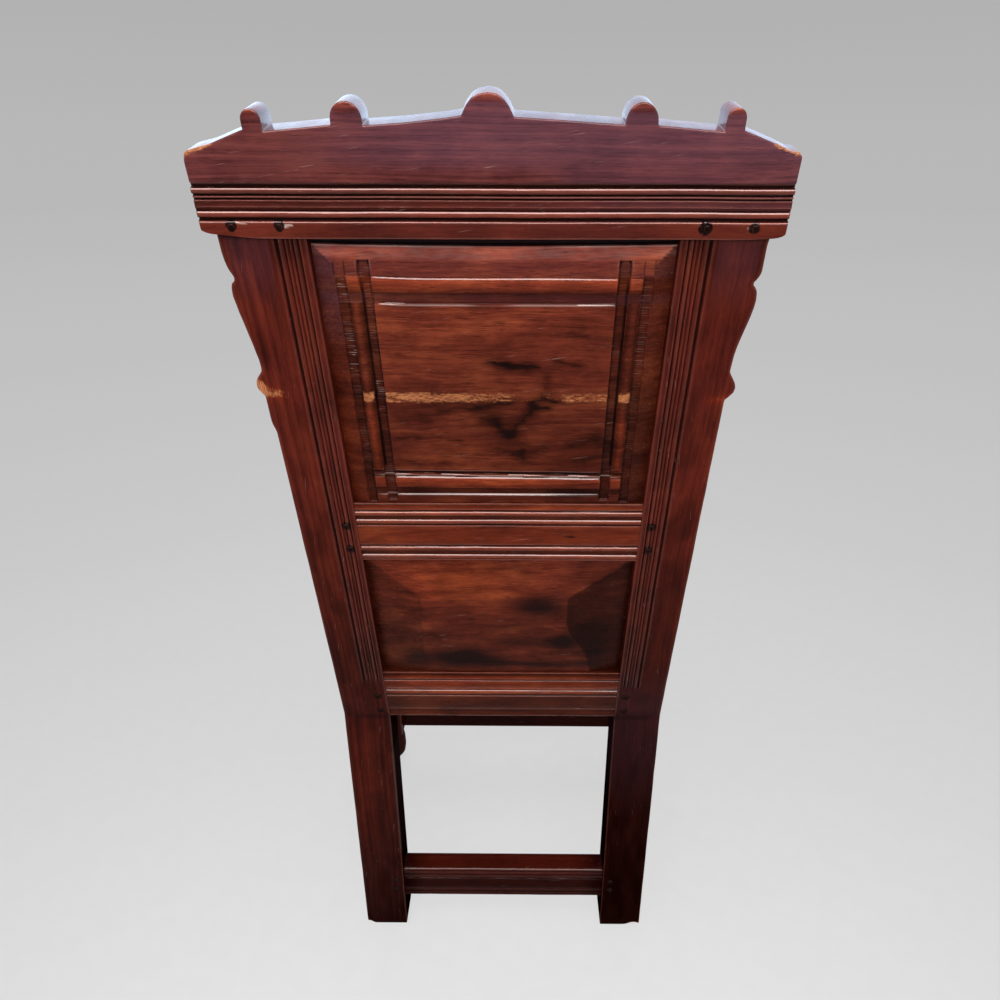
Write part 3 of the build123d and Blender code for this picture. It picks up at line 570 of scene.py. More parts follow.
# %% [markdown]
# Each group of boards came from its own tree and has had its own life, so each has its own colours:
# the crest is purplish, the panels are redder and more figured, and the pegs are nearly black.
# %% The finishes
CREST = waxed("crest_finish", "rail_wood", tone(76, 33, 33), tone(100, 48, 48), tone(122, 62, 58),
              specular=0.06, rub_and_highlight=0.1, figured=2.2, shine=0.2, flecks=0.28)
BAND = waxed("crest_band_finish", "rail_wood", tone(56, 20, 17), tone(93, 38, 30), tone(128, 57, 43),
             specular=0.03, shine=0.4)
POST = waxed("post_finish", "post_wood", tone(50, 12, 8), tone(86, 29, 20), tone(114, 44, 28),
             specular=0.0, shine=0.3, rub_and_highlight=0.15, least=0.08)
RAIL = waxed("rail_finish", "rail_wood", tone(60, 19, 10), tone(106, 42, 24), tone(150, 70, 38),
             shine=0.3)
PANEL = waxed("panel_finish", "panel_wood", tone(52, 18, 11), tone(96, 39, 26), tone(138, 66, 40),
              pith=(0.03, 0.16), bend=0.045, aged=0.6, specular=0.03, ringed=0.12, flecks=0.55,
              figured=1.15)
SEAT = waxed("seat_finish", "seat_wood", tone(64, 24, 15), tone(104, 46, 26), tone(150, 80, 44),
             pith=(0.0, 0.2), aged=0.4, specular=0.07)
PEG = waxed("peg_finish", "peg_wood", tone(14, 8, 8), tone(26, 14, 12), tone(48, 28, 22), gloss=0.5,
            rub_and_highlight=0.1, shine=0.1, specular=0.0)
print("finishes:", [m.name for m in bpy.data.materials if m.name.endswith("_finish")])

# %% [markdown]
# ## Rails of the back
# A rail is planed square, and its mouldings are run with a scratch stock: a scraper filed to the
# outline and drawn along the wood. The hand strays, so the outline wanders a fraction of a
# millimetre, the surface ripples, and small dents have come since. A rail is one outline repeated
# along x, with those three errors added at each point.
# %% Marks of the hand


def dents(x, v, seed, count, span, rise, size=2.2, deep=0.5):
    """Small knocks scattered over a surface, as a depth at each point."""
    chance = np.random.default_rng(seed)
    total = np.zeros(np.broadcast(x, v).shape)
    for _ in range(count):
        cx, cv = chance.uniform(*span), chance.uniform(*rise)
        wide, tall = size * chance.uniform(0.5, 2.0), size * chance.uniform(0.3, 0.8)
        total += deep * chance.uniform(0.3, 1.0) * spot(x, v, cx, cv, wide, tall)
    return total


def spot(x, v, cx, cv, wide, tall):
    """1 at the middle of a soft oval spot, fading to 0 outside it."""
    return np.exp(-((x - cx) / wide) ** 2 - ((v - cv) / tall) ** 2)


def spaced(low, high, step, dense=(), fine=0.6, spread=13.0):
    """Stations along a piece, closer together near the places in dense."""
    at = [low]
    while at[-1] < high:
        near = min([abs(at[-1] - d) for d in dense], default=spread)
        at.append(at[-1] + (fine if near < spread else step))
    at[-1] = high
    return np.array(at)


# %% Carry an outline along x


def columns_of(outline, rows):
    """The two columns of an outline, repeated for each of a number of stations."""
    return np.repeat(outline[None, :, 0], rows, 0), np.repeat(outline[None, :, 1], rows, 0)


def run_rail(name, outline, x, bottom, wood, nodes, seed, bend=on_back, edit=None, knocks=14, shade=1.0,
             buff=1.0):
    """A member across the chair: an outline of (height, depth) at each station x."""
    rows, columns = len(x), len(outline)
    across = np.repeat(x[:, None], columns, 1)
    up, deep = columns_of(outline, rows)
    rear = ease(-deep, -(outline[:, 1].min() + 5), -(outline[:, 1].min() + 1))
    place = stacked((across, up * 3))
    up = up + 0.22 * line_waver(across, 60, seed) * ease(deep, 30, 20)
    deep = deep + rear * (0.12 * waver(place, 45, seed + 1) + 0.08 * waver(place, 9, seed + 2))
    deep = deep + rear * dents(across, up, seed, knocks, (x[0], x[-1]), (0, outline[:, 0].max()))
    proud = proud_of(outline)
    marks = {k: np.zeros_like(up) for k in ("worn", "stain", "pale", "warm")}
    marks |= {"proud": np.repeat(proud[None], rows, 0), "shade": np.full_like(up, shade),
              "polish": np.repeat(buff * buffed(outline, proud)[None], rows, 0)}
    if edit:
        up, deep = edit(across, up, deep, marks)
    world, grain = bend((across, bottom + up, deep)), (across + 900 * seed, up, deep)
    return piece(name, world, around(rows, columns), grain, marks, wood, nodes)


# %% [markdown]
# A waxing cloth bears hardest on the upper half of a reed, and light from above catches it there.
# That thin bright line along each reed is what tells the eye that the wood is moulded and waxed.
# %% Shine on reeds


def glint(up, *reeds):
    """Polish for the upper half of each reed, given as (foot, head)."""
    return sum(ease(up, a + 0.35 * (b - a), a + 0.6 * (b - a)) * ease(up, b + 0.4, b) for a, b in reeds)


# %% [markdown]
# The middle rail carries a pair of reeds with a cove between them along each edge, and a flat down
# the middle. The numbers are (height above the lower edge, depth behind the face of the posts).
# %% Middle rail
middle_outline = draw((0, 2.6), [
    (0.4, 2.0), (2.2, 2.0), (2.6, 3.3), ("reed", 8.2, 3.2, 1.9), ("cove", 14.6, 3.0, 0.6),
    ("reed", 20.6, 3.0, 1.9), (21.4, 4.2), (23.2, 4.2), (24.4, 1.6), (53.2, 1.5), (53.6, 3.8),
    (54.6, 3.8), ("reed", 60.8, 3.0, 1.9), ("cove", 66.6, 3.0, 0.6), ("reed", 72.6, 2.8, 1.8),
    (73.4, 3.9), (74.8, 3.9), (76.0, 1.8), (83.3, 4.0), (83.5, 29.0), (83.0, 29.5), (0.5, 29.5),
    (0, 29.0),
], soft=0.3)
across_back = spaced(-161.0, 161.0, 2.6)


def middle_edit(x, up, deep, marks):
    """Painted light and shade on its reeds and under the panel; warm where proud; stained by a knot."""
    # Painted light and shade: bright reed bodies, dark quirks, and the panel's shadow along the top.
    marks["shade"] = read(
        up, (0, 0.5), (8, 1.5), (9, 0.5), (15, 0.5), (20, 1.5), (22.5, 0.4), (25, 0.96), (52, 0.96),
        (54, 0.45), (60, 1.5), (62, 0.5), (67, 0.5), (72, 1.5), (74.5, 0.45), (76.4, 1.15), (79, 1.15),
        (80.5, 0.3), (84, 0.2))
    marks["warm"] = 0.3 * ease(up, 77, 78) + 0.2 * ease(up, 25, 31) * ease(up, 54, 51)
    marks["polish"] *= glint(up, (2.6, 8.2), (14.6, 20.6), (54.6, 60.8), (66.6, 72.6))
    knot = np.hypot((x + 82 + 2 * waver((x, up), 8, 4)) / 9, (up - 38) / 2.4)
    marks["stain"] += 0.8 * ease(knot, 1.3, 0.2)
    return up, deep


run_rail("middle_rail_run", middle_outline, across_back, 297.0, RAIL, ["middle_rail"], seed=3,
         edit=middle_edit)

# %% [markdown]
# The bottom rail has one bold reed above a plain band, and a small reed near its lower edge. Above
# the bold reed the wood is a warm red; below it, the rail is painted darker, as shade.
# %% Bottom rail
bottom_outline = draw((0, 3.4), [
    (1.6, 1.7), (6.4, 1.6), ("cove", 14.4, 2.8, 1.0), ("reed", 18.6, 2.6, 1.2), (19.4, 2.6),
    (20.4, 1.6), (45.6, 1.5), (46.0, 3.4), (47.4, 3.6), ("reed", 55.8, 3.4, 2.0), (56.6, 4.0),
    (58.2, 3.9), (59.4, 1.6), (62.2, 1.7), (62.6, 2.8), (63.6, 2.8), (64.0, 1.6), (78.2, 1.5),
    (78.8, 3.4), (80.4, 3.5), (81.6, 1.7), (92.6, 4.0), (94.0, 29.0), (93.5, 29.5), (0.5, 29.5),
    (0, 29.0),
], soft=0.32)


def bottom_edit(x, up, deep, marks):
    """Painted light and shade, darker low down and at the ends; old spills to one side of its middle."""
    # Painted light and shade across the mouldings: bright reed bodies, dark quirks, a darker lower half.
    tones = read(
        up, (0, 0.38), (16, 0.31), (18, 0.46), (22, 0.3), (44, 0.42), (47, 0.34), (54.5, 1.3),
        (56.4, 0.9), (58, 0.34), (60, 0.62), (65, 0.74), (77, 0.72), (79, 0.26), (81, 0.62), (85, 0.62),
        (86.5, 0.22), (94, 0.2))
    # Painted shade towards the ends, and on one side above the bold reed.
    marks["shade"] = tones * (1 - 0.35 * ease(np.abs(x), 110, 160))
    marks["shade"] *= 1 - 0.14 * ease(-x, 10, 70) * ease(up, 56, 60)
    marks["warm"] = 0.6 * ease(up, 59, 62) + 0.15
    rubbed = 0.75 + 0.35 * waver((x, up * 0.2), 16, 12)
    reeds = glint(up, (47.4, 55.8), (14.4, 18.6))
    marks["polish"] *= 0.08 + reeds * np.where(up > 40, rubbed, 0.6)
    spilt = ease(waver((x, up * 2), 34, 9), 0.1, 0.7)
    marks["stain"] += 0.35 * spilt * ease(-x, 30, -40) * ease(up, 90, 60)
    return up, deep


run_rail("bottom_rail_run", bottom_outline, across_back, -5.0, RAIL, ["bottom_rail"], seed=5, knocks=24,
         edit=bottom_edit)

# %% [markdown]
# The rear stretcher takes the sitter's heels and the broom, so its upper arris is well rounded. It
# lies in the plane of the rear legs, which on_back follows below the bend.
# %% Rear stretcher
stretcher_outline = draw((0, 7.0), [
    (0.8, 6.1), (6.6, 6.0), (8.4, 7.8), ("reed", 15.0, 7.5, 1.5), (16.0, 7.8), (17.4, 6.1),
    (37.4, 6.0), (38.8, 7.6), ("reed", 44.6, 7.4, 1.4), (45.8, 7.8), ("reed", 52.2, 7.4, 1.4),
    (53.6, 7.8), (55.4, 6.3), (57.6, 6.4), (58.9, 8.6), (59.0, 36.0), (58.0, 37.0), (0.8, 37.0),
    (0, 36.2),
], soft=0.45)
stretcher_foot = (65.0 - BEND_Z) / cos(KICK)


def stretcher_edit(x, up, deep, marks):
    """Painted light on its reeds, painted shade on its front and ends; rubbed red along the top."""
    # Painted light and shade: lighter reeds, a darker front face, and dark ends.
    face = read(up, (0, 0.6), (3, 0.5), (8, 0.3), (15, 0.6), (17, 0.3), (36, 0.3), (38, 0.3), (44, 0.75),
                (46, 0.4), (52, 0.9), (54, 0.6), (58, 0.7))
    marks["shade"] = np.where(deep > 9, 0.6, face * 0.74) * (1 - 0.55 * ease(np.abs(x), 120, 158))
    # A cool painted tint at the ends of its top.
    marks["warm"] = 0.1 * ease(deep, 9, 12) - 0.12 * ease(np.abs(x), 132, 158) * (deep > 9)
    broken = ease(waver((x, up * 3), 16, 6), -0.2, 0.6)
    marks["worn"] += 0.42 * ease(up, 56.5, 58.5) * ease(deep, 12, 8) * broken
    return up, deep


run_rail("rear_stretcher_run", stretcher_outline, across_back, stretcher_foot, POST,
         ["rear_stretcher"], seed=7, knocks=30, edit=stretcher_edit, buff=0.35)

# %% [markdown]
# ## Rear posts
# Each post is one plank, bent at the seat by cutting it so. Its inner edge carries reeds that run
# down to a hand's breadth above the seat, where the scratch stock is lifted out. Its outer edge is
# sawn at the top into a lobe, a long hollow and a nub. The outline is drawn once for a plain post; at
# each station its outer part is stretched to the sawn edge, and its front part to the tapering depth.
# %% Outline of a post
POST_WIDE, POST_DEEP, TOP_DEEP = 65.0, 50.0, 38.0
post_outline = draw((0, 0.9), [
    (0.7, 0.1), (6.6, 0), (7.1, 2.0), (8.1, 2.0), ("reed", 12.2, 1.1, 1.1), (12.7, 2.0),
    ("reed", 16.0, 1.3, 0.7), (16.3, 1.8), ("reed", 19.8, 1.3, 0.7), (20.2, 2.1),
    ("reed", 25.2, 1.4, 1.2), (25.7, 3.0), (27.2, 3.0), (28.4, 0.7), (30.0, 0), (64.0, 0),
    (65.0, 1.0), (65.0, 49.2), (64.2, 50.0), (0.8, 50.0), (0, 49.2),
], soft=0.28)
print("post outline:", len(post_outline), "points")

# %% [markdown]
# The two outer edges were sawn by eye and differ by a few millimetres. Each is a list of places (how
# far up the back, how far out from the middle of the chair), and the saw went straight between them.
# %% Sawn edges
sawn_left = np.array([
    (475, 225.0), (480, 226.1), (485, 227.5), (490, 228.0), (513, 228.0), (517.6, 228.1), (522, 231.4),
    (526.5, 233.9), (531, 233.8), (535.4, 233.0), (539.7, 229.7), (544, 226.3), (548.4, 225.6),
    (557, 225.9), (565, 227.2), (573.5, 228.2), (581.6, 229.5), (589.6, 230.7), (597.5, 232.0),
    (605, 233.4), (613, 234.4), (620.5, 235.5), (628, 234.9), (631.7, 233.9), (635.4, 230.2),
    (639, 230.7), (642.6, 232.6), (646, 234.0), (653, 235.4), (660, 236.0), (673, 236.0),
])
sawn_right = np.array([
    (477, 225.0), (482, 225.2), (515, 225.2), (519.7, 229.8), (524, 232.9), (528.6, 233.5), (533, 232.5),
    (537.4, 230.1), (541.7, 227.4), (546, 225.0), (554, 225.4), (563, 225.9), (571, 227.0), (579, 228.6),
    (587, 230.3), (595, 232.0), (603, 233.6), (611, 234.8), (618, 235.4), (626, 234.5), (629.6, 232.5),
    (633.3, 229.0), (637, 231.9), (640.5, 234.0), (644, 235.1), (668, 235.2), (673, 236.0),
])
sawn_edges = {1: sawn_left, -1: sawn_right}

# %% [markdown]
# A post is worked out in steps: first its shape, then each kind of mark. Its places are up (along the
# post from the bend), u (out from the opening) and w (into the wood). Side is 1 for the post on the
# sitter's left, and -1 for the other.
# %% Shape of a post
FOOT = -BEND_Z / cos(KICK)      # where the foot is, along the leg
HIDDEN_TOP = CREST_V + 4        # the posts reach a little way up inside the crest
MOULDED, PLAIN = 30.6, 34.0     # the reeds end at the first; outside the second, the edge is sawn
FACE, FOOT_ROUND = 8.0, 8.0


def rounding(away, radius):
    """How far a surface draws in, at a distance from an end that has been rounded off."""
    return radius - np.sqrt(np.clip(radius ** 2 - np.clip(radius - away, 0, radius) ** 2, 0, None))


def post_shape(side, seed, chip):
    """Places on a post and what shapes its marks; chip is (u, size) of a chip under its foot."""
    close = FOOT + np.array([0, 0.25, 0.8, 1.7, 2.9, 4.4, 6.2])
    v = np.concatenate([close, np.linspace(FOOT + 8.4, HIDDEN_TOP, 420)])
    u, w = columns_of(post_outline, len(v))
    up = np.repeat(v[:, None], len(post_outline), 1)
    stop = 62 + 5 * side + 3 * waver((u, up), 6, seed)
    moulded = (u > 1.2) & (u < MOULDED) & (w < 6)
    w = np.where(moulded, w * ease(up, stop, stop + 9), w)
    proud = np.repeat(proud_of(post_outline)[None], len(v), 0)
    proud = np.where(moulded, proud * ease(up, stop, stop + 9), proud)
    depth = POST_DEEP - (POST_DEEP - TOP_DEEP) * np.clip(up, 0, HIDDEN_TOP) / CREST_V
    w = np.where(w > FACE, FACE + (w - FACE) * (depth - FACE) / (POST_DEEP - FACE), w)
    edge = np.interp(up, *sawn_edges[side].T) - HALF_OPENING
    edge = edge + 0.25 * line_waver(up, 30, seed + 3)
    u = np.where(u > PLAIN, PLAIN + (u - PLAIN) * (edge - PLAIN) / (POST_WIDE - PLAIN), u)
    u = u + 0.3 * line_waver(up, 75, seed) * ease(u, 0.5, 6) * ease(u, 40, 32)
    rear = ease(w, 6, 1)
    ripple = 0.14 * waver((u * 3, up), 50, seed)
    w = w + rear * (ripple + dents(up, u, seed, 16, (-400, 660), (2, 60)))
    inset = rounding(up - FOOT, FOOT_ROUND)
    for axis, extent in ((u, POST_WIDE), (w, depth)):
        np.clip(axis, inset, extent - inset + (axis > 60) * 20 * (up > 0), out=axis)
    chipped = spot(u, up, chip[0], FOOT, chip[1], 7) * ease(w, 14, 0)
    return SimpleNamespace(up=up, u=u, w=w + 7 * chipped, proud=proud, edge=edge, rear=rear,
                           chipped=chipped)


# %% Wear of a post


def post_wear(side, seed, p):
    """A scuff across the post at its nub, a chipped foot, and one rubbed outer arris."""
    bump = (0.45 + 0.3 * side) * np.exp(-((p.up - 527) / 11) ** 2) * ease(p.u, 64, 70) * p.rear
    middle = 524 + 0.3 * (p.u - 66) if side > 0 else 517 + 0.1 * (p.u - 66)
    scuffed = np.exp(-((p.up - middle) / (4 + 2 * side + p.u / 20)) ** 2) * ease(p.u, 36, 58)
    broken = 0.8 + 0.3 * waver((p.u * 0.4, p.up), 2, seed)
    worn = bump + (0.62 + 0.13 * side) * scuffed * broken * p.rear
    worn += 1.3 * (p.chipped > 0.12)
    rubbed = ease(p.u - p.edge, -1.8, -0.6) * ease(p.up, 330, 350) * ease(p.up, 480, 465) * p.rear
    worn += 0.6 * (side < 0) * rubbed * ease(waver((p.u, p.up), 9, 77), -0.4, 0.2)
    return worn + 0.55 * ease(p.up, FOOT + 16, FOOT + 2) * ease(p.proud, 0.05, 0.4), scuffed


# %% Stains and painted shadow of a post
POST_PEGS = (9, 41, 315, 349.5, FOOT + 85, FOOT + 104)


def post_stain_and_shadow(side, seed, p):
    """Painted shadow in the bend, at the foot and under the crest; dirt round the pegs; smudges and
    spills.
    """
    # Painted shade in the bend and towards the foot.
    stain = 0.5 * np.exp(-((p.up + 5) / 5) ** 2) * ease(p.u, 66, 40) + 0.3 * ease(p.up, FOOT + 40, FOOT)
    for k, peg_up in enumerate(POST_PEGS):
        gap = np.hypot((p.u - 12), p.up - peg_up) + 0.8 * waver((p.u, p.up), 2.5, 60 + k)
        stain = stain + 1.1 * ease(gap, 6.4, 4.4) * p.rear
    reeds = np.exp(-((p.up - 500) / 26) ** 2) * ease(p.u, 30, 22) * p.rear
    patchy = ease(waver((p.u * 2, p.up), 16, seed + 5), -0.5, 0.4)
    stain = stain + (0.75 if side > 0 else 0.3) * reeds * patchy
    # Painted shadow of the crest on the top of the post.
    stain = stain + 0.5 * ease(p.up, 668, 674) * p.rear
    spilt = ease(waver((p.u * 2, p.up), 30, 8), 0.2, 0.8)
    return stain + 0.3 * (side < 0) * spilt * ease(p.u, 30, 34)


# %% Shade and warmth of a post


def post_shade(seed, p, shade_up_post):
    """Painted shade down the leg, on its two arrises and inner face and under the crest; drifting
    patches.
    """
    shade = read(p.up, *shade_up_post)
    edges = 1 - 0.4 * ease(p.u, 5, 0.5) - 0.4 * ease(p.u, 60, 65)
    shade = shade * (1 - 0.3 * ease(p.up, 640, 672)) * (1 - 0.1 * ease(p.u, 33, 29))
    patches = waver((p.u * 2.2, p.up * 0.7), 24, seed + 7)
    shade = shade * (1 - 0.3 * ease(patches, -0.1, 0.7))
    # Painted shade on the inner face of the leg.
    inner_face = ease(p.w, 4, 8) * ease(-p.u, -20, -2)
    return shade * np.where(p.up < 0, edges * (1 - 0.7 * inner_face), 1)


def post_warmth(side, p, scuffed):
    """Redder down one leg, on the reeds and round the scuff; a purplish painted shadow under the crest.
    """
    leg = 0.25 * ease(p.up, 10, -30) * ease(p.up, -330, -200) * (side > 0) * ease(p.u, 18, 40)
    # A faint purplish painted tint on one leg, and painted shadow under the crest.
    warm = leg - 0.04 * (side < 0) * ease(p.up, 120, 20) * ease(p.up, -200, -60)
    warm = warm - 0.08 * ease(p.up, 600, 660) * ease(p.u, 28, 34)
    return warm + 0.25 * ease(p.proud, 0.1, 0.35) * ease(p.up, 120, 220) + 0.8 * scuffed


# %% Make the posts


def run_post(name, side, seed, chip, shade_up_post):
    """A rear post; its last argument is its painted shade, how light it is at heights from foot to top.
    """
    p = post_shape(side, seed, chip)
    worn, scuffed = post_wear(side, seed, p)
    marks = {"proud": p.proud, "worn": worn, "stain": post_stain_and_shadow(side, seed, p),
             "warm": post_warmth(side, p, scuffed), "shade": post_shade(seed, p, shade_up_post)}
    up = p.up + p.w * np.tan(KICK) * np.clip((-p.up - 380) / 60, 0, 1)     # stands flat on the floor
    world, grain = on_back((side * (HALF_OPENING + p.u), up, p.w)), (up, p.u + 700 * seed, p.w)
    return piece(name, world, around(*up.shape), grain, marks, POST, [name[:-4]])


# The lists are each post's painted shade, from the foot to the top: darker towards the floor.
run_post("rear_post_left_run", 1, 11, (62.0, 5.0), [
    (-440, 0.15), (-300, 0.32), (-120, 0.57), (-8, 0.57), (0, 0.42), (10, 0.52), (120, 0.54),
    (420, 1.08), (673, 1.1)])
run_post("rear_post_right_run", -1, 12, (56.0, 9.0), [
    (-440, 0.1), (-300, 0.12), (-60, 0.21), (-8, 0.25), (0, 0.21), (10, 0.35), (120, 0.48),
    (420, 1.08), (673, 0.98)])

# %% [markdown]
# ## Crest
# The crest is a deep moulded band that rests on the posts, and above it a board sawn to an outline.
# The band is run like a rail. Its lower corners are rounded off, and round the pegs the wood has
# torn, as it does when a peg is driven through dry oak.
# %% Crest band
crest_outline = draw((0, -2.5), [
    (0.7, -3.0), (13.6, -3.0), (14.3, -2.4), (15.0, 0.6), (15.7, 1.4), (16.6, 1.4),
    ("reed", 22.7, 0.2, 3.1), (23.2, -0.5), (25.0, -0.7), (25.7, -1.8), ("cove", 31.0, -0.8, 0.5),
    (31.6, 1.1), (32.5, 1.1), (33.0, -0.8), (34.2, -0.8), (34.7, 1.3), (35.6, 1.3),
    ("reed", 40.9, 0.1, 2.4), (41.6, 2.4), (44.0, 1.9), (44.3, 28), (43, 30.4),
    ("reed", 36.4, 37.4, -1.4), (35, 38), (1, 38), (0, 37.2),
], soft=0.26, longest=1.3)
print("crest outline:", len(crest_outline), "points")

# %% Torn wood round the pegs
CREST_END = 247.6
crest_pegs = (
    # along the crest, up it; the torn sliver: way, length, half width, height; the pit: size, depth
    (220.4, 11.4, 1, 14, 0.5, 2.6, 3.9, 0.5), (179.9, 11.2, 1, 15, 1.7, 0.4, 3.9, 0.5),
    (-178.6, 9.4, -1, 8, 1.2, 2.0, 5.3, 1.6), (-219.7, 10.1, -1, 6, 0.6, 0.4, 3.9, 0.5),
)


def tear_pegs(x, up, deep, marks):
    """A ragged, dirty pit round each peg, and a pale sliver torn out along the grain."""
    rear = ease(deep, 4, 0)
    for k, (px, pv, way, length, wide, high, size, hollow) in enumerate(crest_pegs):
        near = np.hypot(x - px, up - pv)
        ragged = size + 0.7 * waver((x, up), 2.2, 40 + k)
        deep = deep + hollow * ease(near, ragged + 0.5, ragged - 0.5) * rear
        marks["stain"] += 0.8 * ease(near, ragged + 1.6, ragged) * rear
        run = (px - x) * way
        half = wide * np.clip(1 - run / length, 0, 1)
        sliver = ease(run, 2.5, 3.5) * ease(np.abs(up - pv - high + 0.06 * run), half + 0.35, half)
        sliver = sliver * rear * (run < length)
        marks["pale"] = np.maximum(marks["pale"], 0.95 * sliver)
        deep = deep + 0.5 * sliver
    return deep


# %% Run the crest band


def crest_edit(x, up, deep, marks):
    """Rounds the corners of the band, tears the wood round its pegs and paints light and shade on its
    beads.
    """
    # Painted light and shade: bright bead bodies, dark quirks.
    marks["shade"] = read(
        up, (0, 0.6), (3, 0.9), (12, 1.0), (14, 1.1), (15, 0.4), (16.5, 0.4), (18, 1.2), (21.5, 1.4),
        (22.6, 0.7), (25, 0.6), (26, 0.95), (27, 0.72), (31, 0.68), (32, 0.4), (33.2, 0.55), (34.2, 0.55),
        (35.2, 0.4), (36.5, 0.7), (39.6, 1.25), (40.7, 0.4), (43, 0.3), (44, 0.3))
    glints = glint(up, (16.6, 22.7), (35.6, 40.9)) + 0.5 * glint(up, (23.2, 25.7), (32.8, 34.4))
    marks["polish"] *= 0.06 + glints + 0.7 * glint(up, (12.4, 14.2))
    marks["warm"] = 0.45 * ease(up, 16, 17) * ease(up, 22.4, 21.5) + 0.1 * ease(up, 36, 37)
    # A purplish painted reflection of the sky on the upper part of the band, to one side.
    marks["warm"] -= 0.1 * ease(-x, -40, 160) * ease(up, 14, 16)
    marks["warm"] += (0.35 * ease(x, 60, 200) + 0.3 * ease(-x, 110, 180)) * ease(up, 15, 13)
    past = np.clip(np.abs(x) - (CREST_END - 12), 0, 12)
    raised = 4.2 * ease(x, 190, CREST_END) + 1.6 * ease(-x, 200, CREST_END)
    up = np.maximum(up, 5 - np.sqrt(25 - (past * 5 / 12) ** 2) + raised)
    inset = rounding(CREST_END - np.abs(x), 1.6)
    deep = np.clip(deep, -3 + inset, TOP_DEEP - inset)
    return up, tear_pegs(x, up, deep, marks)


places = [-CREST_END, CREST_END] + [peg[0] for peg in crest_pegs]
run_rail("crest_band_run", crest_outline, spaced(-CREST_END, CREST_END, 2.6, places), CREST_V, BAND,
         ["crest_rail"], seed=15, edit=crest_edit, knocks=50)

# %% [markdown]
# Flat boards, such as the top of the crest, the arms and the seat, share one way of making. Their
# outline is offset inwards in a few steps that turn over the arris, and the flat inside is filled with
# triangles between the outline and a grid of points, so that it can ripple like planed wood.
# %% Fill a flat with triangles


def filled(ring, spacing, seed):
    """Triangles inside a ring of 2-D points, with inner points about spacing apart."""
    low, high = ring.min(0), ring.max(0)
    chance = np.random.default_rng(seed)
    a, b = np.meshgrid(*[np.arange(low[k] + spacing / 2, high[k], spacing) for k in (0, 1)])
    inner = stacked((a.ravel(), b.ravel())) + chance.uniform(-0.2, 0.2, (a.size, 2)) * spacing
    inside = np.zeros(len(inner), bool)
    gap = np.full(len(inner), np.inf)
    for p, q in zip(ring, np.roll(ring, -1, 0)):
        crosses = (p[1] > inner[:, 1]) != (q[1] > inner[:, 1])
        slope = (q[0] - p[0]) / (q[1] - p[1]) if q[1] != p[1] else 0
        inside ^= crosses & (inner[:, 0] < slope * (inner[:, 1] - p[1]) + p[0])
        along = np.clip((inner - p) @ (q - p) / max((q - p) @ (q - p), 1e-9), 0, 1)
        gap = np.minimum(gap, np.linalg.norm(inner - p - along[:, None] * (q - p), axis=1))
    inner = inner[inside & (gap > 0.45 * spacing)]
    count = len(ring)
    edges = [(i, (i + 1) % count) for i in range(count)]
    corners = [Vector(p) for p in np.vstack([ring, inner])]
    made = delaunay_2d_cdt(corners, edges, [list(range(count))], 1, 1e-5)
    made_faces, from_corner = made[2], made[3]
    whole = [face for face in made_faces if all(from_corner[i] for i in face)]
    return inner, [[from_corner[i][0] for i in face] for face in whole]


# %% [markdown]
# A board is a stack of rings, one inside the next, that climbs round its lower arris, over its edge
# and round its upper arris. Two filled flats close it. The rounding may differ from place to place,
# so that an arm is round where hands hold it and square where it meets the post.
# %% Rings round the edge of a board
TURN_STEPS = [0, 0.12, 0.3, 0.55, 0.8, 1.0]


def edge_rings(outline, low, high, radius):
    """The rings of a board, and how proud and how polished each of their points is."""
    tangent = np.roll(outline, -1, 0) - np.roll(outline, 1, 0)
    normal = stacked((-tangent[:, 1], tangent[:, 0]))
    normal /= np.linalg.norm(normal, axis=1, keepdims=True)
    normal = normal * turning(outline)
    rings, proud, buff = [], [], []
    for surface, way, order in ((low, 1, TURN_STEPS[::-1]), (high, -1, TURN_STEPS)):
        for t in order:
            ring = outline + normal * (radius * (1 - sin(pi / 2 * (1 - t))))[:, None]
            level = surface(ring) + way * radius * (1 - sin(pi / 2 * t))
            rings.append(np.column_stack([ring, level]))
            proud.append(np.full(len(outline), 0.75 * sin(pi * t)))
            buff.append(np.full(len(outline), 0.9 * ease(1 - t, 0.2, 0.7)))
    return np.stack(rings), np.concatenate(proud), np.concatenate(buff)


# %% Make a board


def board(name, outline, low, high, place, wood, nodes, seed, radius=1.5, spacing=7.0, grain=(0, 1),
          ripple=0.15, edit=None):
    """A board between the surfaces low(p) and high(p), for outline points p; place bends it."""
    rings, proud, buff = edge_rings(outline, low, high, np.broadcast_to(radius, (len(outline),)))
    rows, columns = rings.shape[:2]
    faces = around(rows, columns, ends=False)
    points = [rings.reshape(-1, 3)]
    for ring, first, surface, way in ((rings[0], 0, low, 1), (rings[-1], (rows - 1) * columns, high, -1)):
        inner, found = filled(ring[:, :2], spacing, seed)
        start = sum(len(p) for p in points)
        level = surface(inner) + way * ripple * waver(inner, 30, seed)
        points.append(np.column_stack([inner, level]))
        faces += [[first + i if i < columns else start + i - columns for i in face] for face in found]
    local = np.vstack(points)
    marks = {k: np.full(len(local), MARKS[k]) for k in ("worn", "stain", "warm", "shade")}
    flat = (0, len(local) - len(proud))
    marks |= {"proud": np.pad(proud, flat), "polish": np.pad(buff, flat)}
    if edit:
        local = edit(local, marks)
    along = local[:, [grain[0], grain[1], 2]] + np.array([0, 700 * seed, 0])
    return piece(name, place(local), faces, along, marks, wood, nodes)


def flat_at(level):
    """A level surface, for one face of a board."""
    return lambda p: np.full(len(p), level)


# %% [markdown]
# The crest's outline was sawn by eye, so its two sides differ by a few millimetres. It is written
# down from the sitter's left end to the right, with the round-topped finials between straight runs.
# %% Outline of the crest


